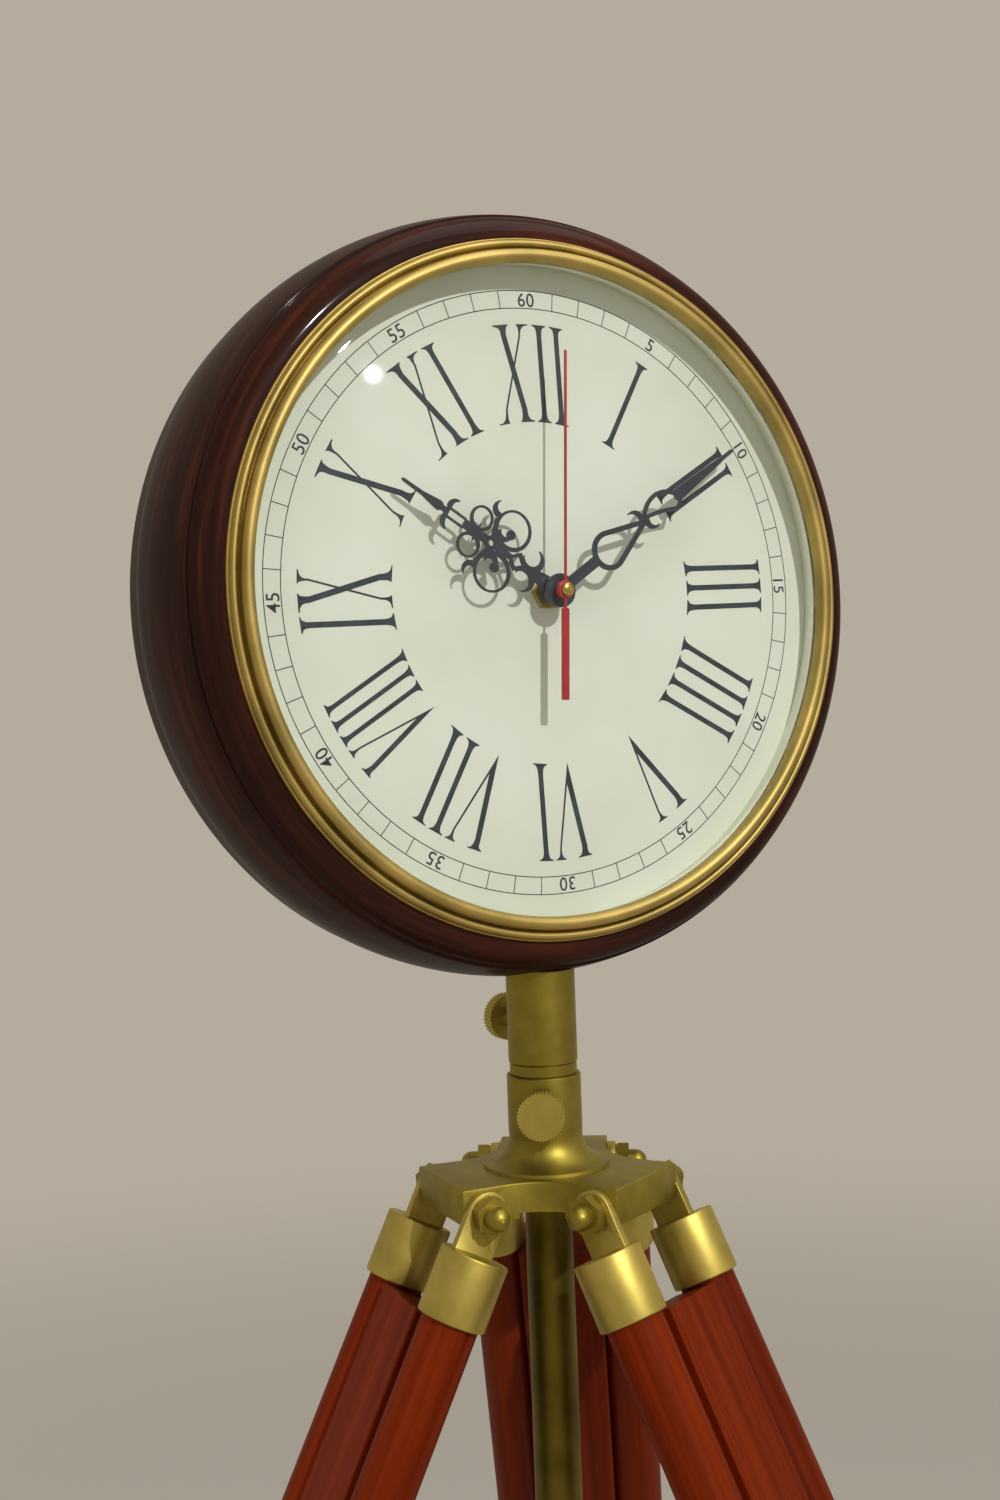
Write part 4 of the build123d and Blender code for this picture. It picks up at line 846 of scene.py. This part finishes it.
class ClockHands(bpy.types.PropertyGroup):
    """Colours of the hands."""

    hand_blue: colour_setting("Hands", "Blue-black of the hour and minute hands", "222E3A")
    hand_deep: colour_setting("Hands shade", "Deeper tone of the hands", "1A232D")
    second_red: colour_setting("Second hand", "Red of the second hand", "B3121C")
    second_deep: colour_setting("Second hand shade", "Deeper red", "970C16")


class ClockInside(bpy.types.PropertyGroup):
    """Colours of the parts that a user sees only with the back off, and of the feet."""

    rubber: colour_setting("Rubber", "Feet", "1C1B1A")
    rubber_dust: colour_setting("Dust", "Dust on the feet", "57534C")
    plastic: colour_setting("Movement", "Housing of the movement", "17181A")
    gear: colour_setting("Wheels", "Wheels of the movement", "D8D4C4")
    board: colour_setting("Circuit", "Circuit board", "1F5A34")
    battery: colour_setting("Battery", "Wrap of the battery", "3B6A8C")
    steel: colour_setting("Steel", "Screws and bolt", "B9BBBD")


class ClockStudio(bpy.types.PropertyGroup):
    """Camera, lamps and backdrop."""

    lens: number_setting("Lens", "Focal length in millimetres on a 36 mm long side", 40.43)
    floor: colour_setting("Floor", "Floor round the legs", "B9B0A2")
    wall: colour_setting("Wall", "Backdrop", "B5AC9D")
    key_power: number_setting("Key", "Power of the key lamp", 62.0, "POWER")
    fill_power: number_setting("Fill", "Power of the fill lamp", 14.0, "POWER")
    top_power: number_setting("Top", "Power of the top lamp", 14.0, "POWER")
    ambient: number_setting("Ambient", "Strength of the light from all round", 0.42)


class ClockSettings(bpy.types.PropertyGroup):
    """All settings of the clock."""

    wood: PointerProperty(type=ClockWood)
    brass: PointerProperty(type=ClockBrass)
    dial: PointerProperty(type=ClockDial)
    hands: PointerProperty(type=ClockHands)
    inside: PointerProperty(type=ClockInside)
    studio: PointerProperty(type=ClockStudio)


# Operators


class ClockOperator:
    """What the clock's operators share."""

    bl_options = {"REGISTER", "UNDO"}

    def finished(self, piece, body, slot, *nodes):
        """Let a piece ride on a body in place of CAD nodes. The slot is not used."""
        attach(piece, body)
        if nodes:
            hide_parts(*nodes)


class CLOCK_OT_studio(ClockOperator, bpy.types.Operator):
    """Set up the camera, the lamps, the floor and the backdrop"""

    bl_idname = "clock.studio"
    bl_label = "Studio"

    def execute(self, context):
        studio = context.scene.clock.studio
        self.make_camera(context, studio)
        self.make_lamps(studio)
        self.make_world(context, studio)
        self.make_floor(studio)
        return {"FINISHED"}

    def make_camera(self, context, studio):
        data = bpy.data.cameras.new("camera")
        data.lens = studio.lens
        data.sensor_width = 36
        data.clip_start = 0.05
        data.clip_end = 50
        camera = new_object("camera", data)
        # The photograph's camera, solved from the ellipses of its dial
        right = Vector((0.87503591, -0.4826779, -0.03652677))
        up = Vector((0.03317061, -0.01549026, 0.99932966))
        turn = Matrix((right, up, right.cross(up))).transposed().to_4x4()
        place = Matrix.Translation(dial_centre + Vector((-0.338828, -0.571583, -0.059537)))
        camera.matrix_world = place @ turn
        context.scene.camera = camera

    def make_lamps(self, studio):
        target = Vector((0, 0, 0.9))
        for name, place, size, power in (
            ("key_lamp", (0.27, -2.50, 2.62), 0.07, studio.key_power),
            ("fill_lamp", (-2.4, -1.2, 1.5), 1.6, studio.fill_power),
            ("top_lamp", (0.6, -0.4, 3.0), 1.6, studio.top_power),
            ("rear_lamp", (-1.7, 2.0, 2.7), 1.4, studio.fill_power),
        ):
            data = bpy.data.lights.new(name, "AREA")
            data.shape = "DISK"
            data.size = size
            data.energy = power
            lamp = new_object(name, data)
            lamp.location = place
            lamp.rotation_mode = "QUATERNION"
            lamp.rotation_quaternion = (target - lamp.location).to_track_quat("-Z", "Y")
            lamp.visible_glossy = name in ("key_lamp", "top_lamp")

    def make_world(self, context, studio):
        """Even light from all round, which the camera, metal and glass see as the backdrop."""
        world = bpy.data.worlds.new("studio")
        world.use_nodes = True
        context.scene.world = world
        nodes, links = world.node_tree.nodes, world.node_tree.links
        nodes.clear()
        pick = nodes.new("ShaderNodeMixShader")
        for at, colour, strength in ((1, (1, 1, 1), studio.ambient), (2, studio.wall, 1)):
            light = nodes.new("ShaderNodeBackground")
            light.inputs["Color"].default_value = opaque(colour)
            light.inputs["Strength"].default_value = strength
            links.new(light.outputs[0], pick.inputs[at])
        ray = nodes.new("ShaderNodeLightPath")
        seen = ray.outputs["Is Camera Ray"]
        for kind in ("Is Glossy Ray", "Is Transmission Ray"):
            either = nodes.new("ShaderNodeMath")
            either.operation = "MAXIMUM"
            links.new(seen, either.inputs[0])
            links.new(ray.outputs[kind], either.inputs[1])
            seen = either.outputs[0]
        links.new(seen, pick.inputs[0])
        out = nodes.new("ShaderNodeOutputWorld")
        links.new(pick.outputs[0], out.inputs["Surface"])

    def make_floor(self, studio):
        """A round floor whose rim fades into the backdrop."""
        floor = Finish("studio_floor")
        x, y, z = floor.place()
        far = (x * x + y * y) ** 0.5
        cloud = floor.noise(floor.vector(x * 2, y * 2, 0.0), 2, 0.5)
        tone = floor.mix(cloud * 0.15, studio.floor, studio.wall)
        matt = floor.node("ShaderNodeBsdfPrincipled", None, {"Base Color": tone, "Roughness": 0.85})
        glow = floor.node("ShaderNodeEmission", None, {"Color": opaque(studio.wall), "Strength": 1.0})
        fade = far.between(1.4, 3.6)
        finish = floor.result(floor.node("ShaderNodeMixShader", None, {0: fade, 1: matt, 2: glow}))
        count, reach = 96, 4.0
        angles = [2 * pi * at / count for at in range(count)]
        points = [(reach * cos(angle), reach * sin(angle), 0) for angle in angles]
        cover(new_piece("studio_floor", points, (), [tuple(range(count))]), finish)


class CLOCK_OT_case(ClockOperator, bpy.types.Operator):
    """Turn the two wooden rings of the case"""

    bl_idname = "clock.case"
    bl_label = "Turned case"

    def execute(self, context):
        wood = make_case_wood(context.scene.clock.wood)
        front = turn_ring("turned_front_ring", self.front_corners(), wood)
        self.cut_collar_seat(front)
        self.finished(front, "clock_head", "case_wood", "case_front_ring")
        rear = turn_ring("turned_rear_ring", self.rear_corners(), wood)
        self.finished(rear, "clock_head", "case_wood", "case_rear_ring")
        lacquer = make_enamel("seam_lacquer", shade("0B0706"), shade("060403"), 0.5)
        self.finished(turn_ring("seam_line", self.seam_corners(), lacquer), "clock_head", "case_wood")
        paint_node(make_enamel("back_cover_board", shade("2B1B16"), shade("1E120F"), 0.55), "back_cover")
        inside = context.scene.clock.inside
        paint_node(make_steel("cover_screws", inside.steel, 0.3), "back_cover_screws", "head_bolt")
        return {"FINISHED"}

    def front_corners(self):
        """Profile of the front ring; its polished edges are rounded, so they catch the light."""
        outer, seam = radius_of("case_front_ring"), back_of("case_front_ring")
        front = height_of("case_front_ring")
        chamfer = 0.5
        step, step_height = 148.2, -0.4
        groove, groove_height = 146.9, 1.2
        lip, bezel_seat, shelf, wall = 136.6, 133.0, 122.0, 136.0
        shelf_front, shelf_back = -1.0, -7.0
        return [
            (outer - chamfer, seam),
            (outer, seam + chamfer),
            *arc((outer, seam + chamfer), (step, step_height), -2.0, 14),
            (step, step_height, 0.35),
            (groove + 0.1, step_height, 0.12),
            (groove, groove_height, 0.9),
            *arc((groove, groove_height), (lip, front), -1.9, 10),
            (lip, front, 0.3),
            (bezel_seat, front),
            (bezel_seat, shelf_front),
            (shelf, shelf_front),
            (shelf, shelf_back),
            (wall, shelf_back),
            (wall, seam),
        ]

    def seam_corners(self):
        """The dark line of lacquer in the groove where the two rings meet."""
        radius, seam = radius_of("case_front_ring"), back_of("case_front_ring")
        return box_corners(radius - 0.45, radius - 0.12, seam - 0.3, seam + 0.3)

    def rear_corners(self):
        """Profile of the rear ring, with the ledge for the back cover."""
        seam, back = back_of("case_front_ring"), back_of("case_rear_ring")
        outer, chamfer = 152.5, 0.5
        shoulder, shoulder_height, foot = 151.8, -52.0, 147.0
        opening, ledge, wall = 134.0, 127.0, 136.0
        cover_depth, ledge_depth = 4.0, 8.0
        return [
            (foot, back, 0.5),
            (opening, back, 0.4),
            (opening, back + cover_depth),
            (ledge, back + cover_depth),
            (ledge, back + ledge_depth),
            (wall, back + ledge_depth),
            (wall, seam),
            (outer - chamfer, seam),
            (outer, seam - chamfer, 0.3),
            (shoulder, shoulder_height, 1.2),
            *arc((shoulder, shoulder_height), (foot, back), 1.4, 8),
        ]

    def cut_collar_seat(self, ring):
        """Sink the collar's round seat into the underside of the front ring."""
        gap, count, depth = 0.3, 96, 60 * MM
        radius = (radius_of("swivel_collar") + gap) * MM
        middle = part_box("swivel_collar")[1].z - depth / 2
        cutter = new_piece("seat_cutter", ())
        with in_work(cutter.data) as work:
            bmesh.ops.create_cone(
                work, cap_ends=True, segments=count, radius1=radius, radius2=radius, depth=depth
            )
            bmesh.ops.translate(work, verts=work.verts, vec=(0, 0, middle))
        cut = ring.modifiers.new("seat", "BOOLEAN")
        cut.operation = "DIFFERENCE"
        cut.solver = "EXACT"
        cut.object = cutter
        settle(ring)
        bpy.data.objects.remove(cutter)


class CLOCK_OT_bezel(ClockOperator, bpy.types.Operator):
    """Turn the brass bezel and bend the domed glass"""

    bl_idname = "clock.bezel"
    bl_label = "Bezel and glass"

    def execute(self, context):
        look = context.scene.clock.brass
        colours = look.bezel_gold, look.bezel_olive
        brass = make_brass("bezel_brass", *colours, look.bezel_roughness, "dial")
        bezel = turn_ring("beaded_bezel", self.bezel_corners(), brass)
        self.finished(bezel, "clock_head", "brass", "bezel")
        self.finished(self.make_glass(make_clear_glass()), "clock_head", "clear_glass", "glass")
        return {"FINISHED"}

    def bezel_corners(self):
        """Two beads with a groove between them and a fine line outside them."""
        case_front, seat, flange = 8.8, 10.0, 1.8
        outer, outer_bead, inner_bead, inner = 136.2, 132.4, 131.5, 126.5
        rim, line_width, bead_rise = 132.85, 0.9, 1.9
        base = case_front + flange
        half = (inner_bead - inner) / 2
        return [
            *bead(inner, inner_bead, height_of("bezel") - half, half, 20),
            (inner_bead, base - 0.5, 0.15),
            *bead(outer_bead, outer - line_width, base, bead_rise, 14),
            (outer - 0.75, base - 0.25, 0.05),
            (outer - 0.45, base - 0.02, 0.1),
            (outer - 0.1, base - 0.2, 0.1),
            (outer, base - 0.6, 0.1),
            (outer, case_front),
            (rim, case_front),
            (rim, seat),
            (inner, seat, 0.1),
        ]

    def make_glass(self, finish):
        """A dome with a flat rim, both sides, closed at its pole by a fan."""
        rings, steps = 40, 160
        rise, dome_radius, rim, back, front, rounding = 17.0, 126.0, 131.6, 8.0, 10.0, 0.3
        sphere = (dome_radius**2 + rise**2) / (2 * rise)

        def dome(base):
            radii = [dome_radius * at / rings for at in range(rings + 1)]
            return [(radius, base + rise - sphere + sqrt(sphere**2 - radius**2)) for radius in radii]

        profile = dome(front) + [(rim - rounding, front), (rim, front - rounding)]
        profile += [(rim, back + rounding), (rim - rounding, back)] + dome(back)[::-1]
        points, faces = [], []
        for radius, height in profile[1:-1]:
            for step in range(steps):
                angle = 2 * pi * step / steps
                points.append(on_dial(radius * sin(angle), radius * cos(angle), height, 0))
        top, bottom = len(points), len(points) + 1
        points += [on_dial(0, 0, height, 0) for radius, height in (profile[0], profile[-1])]
        last = top - steps
        for step in range(steps):
            after = (step + 1) % steps
            for ring in range(0, last, steps):
                faces.append((ring + step, ring + after, ring + steps + after, ring + steps + step))
            faces += [(top, after, step), (bottom, last + step, last + after)]
        glass = cover(clean(new_piece("domed_glass", points, (), faces)), finish)
        glass.data.shade_smooth()
        return glass


class CLOCK_OT_dial(ClockOperator, bpy.types.Operator):
    """Paint the dial and its inner wall, and print the track and the numerals"""

    bl_idname = "clock.dial"
    bl_label = "Dial"

    def execute(self, context):
        look = context.scene.clock.dial
        paint_node(make_dial_paint(look), "dial")
        ink = make_ink(look)
        self.make_rim(look)
        numerals = join_plates("roman_numerals", numeral_plates(look), ink)
        self.finished(numerals, "clock_head", "dial_paint")
        half, top = look.line_width / 2, look.ink_thickness
        for side, radius in (("inner", look.track_inner), ("outer", look.track_outer)):
            corners = box_corners(radius - half, radius + half, -top, top)
            line = turn_ring(f"track_{side}_line", corners, ink, 360)
            self.finished(line, "clock_head", "dial_paint")
        self.make_track_bars(look, ink)
        minutes = range(look.number_step, look.minutes + 1, look.number_step)
        numbers = join("minute_numbers", *[number_piece(look, minute, ink) for minute in minutes])
        self.finished(clean(numbers, 1e-8), "clock_head", "dial_paint")
        return {"FINISHED"}

    def make_rim(self, look):
        foot, top, seat, height = 128.7, 127.0, radius_of("dial_rim"), 8.0
        corners = [(foot, 0), (seat, 0), (seat, height), (top, height, 0.3)]
        rim = turn_ring("inner_wall", corners, make_rim_paint(look))
        self.finished(rim, "clock_head", "rim_cream", "dial_rim")

    def make_track_bars(self, look, ink):
        half = look.line_width / 2 * MM
        length = (look.track_outer - look.track_inner) / 2 * MM
        top = look.ink_thickness * 0.9 * MM  # Just below the lines that they cross
        corners = ((-length, -half), (length, -half), (length, half), (-length, half))
        points, faces = slab(*[[(x, y, z) for x, y in corners] for z in (-top, top)])
        inputs = {
            "Minutes": look.minutes,
            "Step of numbers": look.number_step,
            "Radius": (look.track_inner + look.track_outer) / 2 * MM,
            "Centre": dial_centre,
            "Turn": Vector((-pi / 2, radians(look.print_turn), 0)),
            "Finish": ink,
        }
        bars = run_tree(clean(new_piece("track_bars", points, (), faces)), track_tree(), inputs)
        self.finished(bars, "clock_head", "dial_paint")


class CLOCK_OT_hands(ClockOperator, bpy.types.Operator):
    """Finish the hour and minute hands, and make the second hand with its brass cap"""

    bl_idname = "clock.hands"
    bl_label = "Hands"

    def execute(self, context):
        look = context.scene.clock.hands
        blue = make_enamel("hand_enamel", look.hand_blue, look.hand_deep, 0.34, 0.3)
        paint_node(blue, "hour_hand", "minute_hand")
        red = make_enamel("second_hand_enamel", look.second_red, look.second_deep, 0.38, 0.2)
        self.finished(self.make_second_hand(red), "second_train", "red_paint", "second_hand")
        brass = context.scene.clock.brass
        gold = make_brass("cap_brass", brass.brass_gold, brass.brass_olive, brass.cap_roughness)
        self.finished(self.make_cap(gold), "second_train", "brass")
        return {"FINISHED"}

    def make_second_hand(self, finish):
        """A needle with a wide counterweight, through a round boss."""
        top, turn = height_of("second_hand"), 2.4
        back, thickness = top - 3.4, 0.6
        outline = ((-0.5, 93), (0.5, 93), (0.5, -7), (1.65, -7.4), (1.65, -42.4), (1.25, -42.8))
        outline += tuple((-x, y) for x, y in reversed(outline[2:]))
        needle = join_plates("second_hand_needle", [plate(outline, thickness, back, turn)], finish)
        bore, radius, boss_top = 0.5, 3.5, top - CAP_HEIGHT
        foot = boss_top - 2.8
        corners = [(bore, foot), (radius, foot, 0.3), (radius, boss_top, 0.5), (bore, boss_top)]
        return join("red_second_hand", needle, turn_ring("second_hand_boss", corners, finish, 64))

    def make_cap(self, finish):
        """The small domed cap in front of the boss."""
        top, radius, bore, side = height_of("second_hand"), 2.5, 0.02, 0.9
        foot, rise = top - CAP_HEIGHT, CAP_HEIGHT - side
        angles = [pi * at / 16 for at in range(8)]
        dome = [(radius * cos(angle), foot + side + rise * sin(angle)) for angle in angles]
        corners = [(bore, foot), (radius, foot), *dome, (bore, top)]
        return turn_ring("second_hand_cap", corners, finish, 64)


class CLOCK_OT_brasswork(ClockOperator, bpy.types.Operator):
    """Finish the tripod head, the pole, the collar, the nuts and the thumbscrews"""

    bl_idname = "clock.brasswork"
    bl_label = "Brasswork"

    def execute(self, context):
        look = context.scene.clock.brass
        clean_brass = look.brass_gold, look.brass_olive
        # The castings, collar and stop ring take brass darkened as painted shade.
        shaded_brass = look.aged_gold, look.aged_olive
        cast = make_brass("cast_brass", *shaded_brass, look.brass_roughness)
        drawn = make_brass("ferrule_brass", *clean_brass, look.brass_roughness)
        turned = make_brass("turned_brass", *shaded_brass, look.brass_roughness, "pole")
        # The pole takes brass darkened as painted shade.
        tube = make_brass("pole_brass", look.pole_gold, look.pole_olive, look.brass_roughness, "pole")
        self.finished(soften("tripod_head", cast), "tripod_head", "brass", "tripod_head")
        paint_node(cast, "hinge_bolts", "acorn_nuts", "hinge_washers")
        paint_node(turned, "stop_ring", "swivel_collar", "pole_end_plug")
        paint_node(tube, "centre_pole")
        knobs = make_brass("thumbscrew_brass", *clean_brass, look.brass_roughness + 0.06)
        paint_node(knobs, "pole_lock_knob", "collar_lock_knob")
        for name in leg_names:
            paint_node(knobs, f"{name}_leg_clamp_knob")
            for side in ("left", "right"):
                ferrule = f"{name}_leg_{side}_ferrule"
                self.finished(soften(ferrule, drawn), f"{name}_leg", "brass", ferrule)
            paint_node(drawn, f"{name}_leg_clamp_band", f"{name}_leg_foot_ferrule")
        return {"FINISHED"}


class CLOCK_OT_legs(ClockOperator, bpy.types.Operator):
    """Finish the leg bars, the sliding boards and the rubber feet"""

    bl_idname = "clock.legs"
    bl_label = "Legs"

    def execute(self, context):
        look = context.scene.clock.wood
        rubber = make_rubber(context.scene.clock.inside)
        for side, name in enumerate(leg_names):
            wood = make_leg_wood(look, name, self.direction(name), side)
            for board in ("left_bar", "right_bar", "spacer", "slide_board"):
                paint_node(wood, f"{name}_leg_{board}")
            paint_node(rubber, f"{name}_leg_foot")
        return {"FINISHED"}

    def direction(self, name):
        """Unit vector up a leg, from its foot to its hinge."""
        ends = ("foot", "left_ferrule", "right_ferrule")
        foot, left, right = (sum(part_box(f"{name}_leg_{end}"), Vector()) / 2 for end in ends)
        return ((left + right) / 2 - foot).normalized()


class CLOCK_OT_movement(ClockOperator, bpy.types.Operator):
    """Finish the movement behind the dial"""

    bl_idname = "clock.movement"
    bl_label = "Movement"

    def execute(self, context):
        look = context.scene.clock.inside
        plastic = make_enamel("movement_plastic", look.plastic, look.plastic, 0.45)
        paint_node(plastic, "movement_housing", "movement_lid", "setting_knob")
        brass = context.scene.clock.brass
        nut = make_brass("movement_brass", brass.brass_gold, brass.brass_olive, brass.brass_roughness)
        paint_node(nut, "movement_nut")
        gears = make_enamel("wheel_plastic", look.gear, look.gear, 0.4)
        paint_node(gears, "hour_wheel", "minute_wheel", "motion_wheel", "third_wheel", "second_wheel")
        paint_node(make_enamel("battery_wrap", look.battery, look.battery, 0.35), "battery")
        paint_node(make_enamel("circuit_green", look.board, look.board, 0.4), "circuit_board")
        return {"FINISHED"}


class CLOCK_PT_panel(bpy.types.Panel):
    """The clock's settings and the operators that build it"""

    bl_idname = "CLOCK_PT_panel"
    bl_label = "Tripod Floor Clock"
    bl_space_type = "VIEW_3D"
    bl_region_type = "UI"
    bl_category = "Clock"

    def draw(self, context):
        settings = context.scene.clock
        for name in ("wood", "brass", "dial", "hands", "inside", "studio"):
            box = self.layout.box()
            box.label(text=name.title())
            group = getattr(settings, name)
            for key in group.bl_rna.properties.keys():
                if key not in ("rna_type", "name"):
                    box.prop(group, key)
        for operator in OPERATORS:
            self.layout.operator(operator.bl_idname)


GROUPS = (ClockWood, ClockBrass, ClockDial, ClockHands, ClockInside, ClockStudio, ClockSettings)
OPERATORS = (
    CLOCK_OT_studio,
    CLOCK_OT_case,
    CLOCK_OT_bezel,
    CLOCK_OT_dial,
    CLOCK_OT_hands,
    CLOCK_OT_brasswork,
    CLOCK_OT_legs,
    CLOCK_OT_movement,
)


def register():
    for made in (*GROUPS, *OPERATORS, CLOCK_PT_panel):
        bpy.utils.register_class(made)
    bpy.types.Scene.clock = PointerProperty(type=ClockSettings)


def unregister():
    del bpy.types.Scene.clock
    for made in reversed((*GROUPS, *OPERATORS, CLOCK_PT_panel)):
        bpy.utils.unregister_class(made)


def main():
    register()
    bpy.context.scene.view_settings.view_transform = "Standard"
    for operator in OPERATORS:
        group, name = operator.bl_idname.split(".")
        getattr(getattr(bpy.ops, group), name)()


if __name__ == "__main__":
    main()
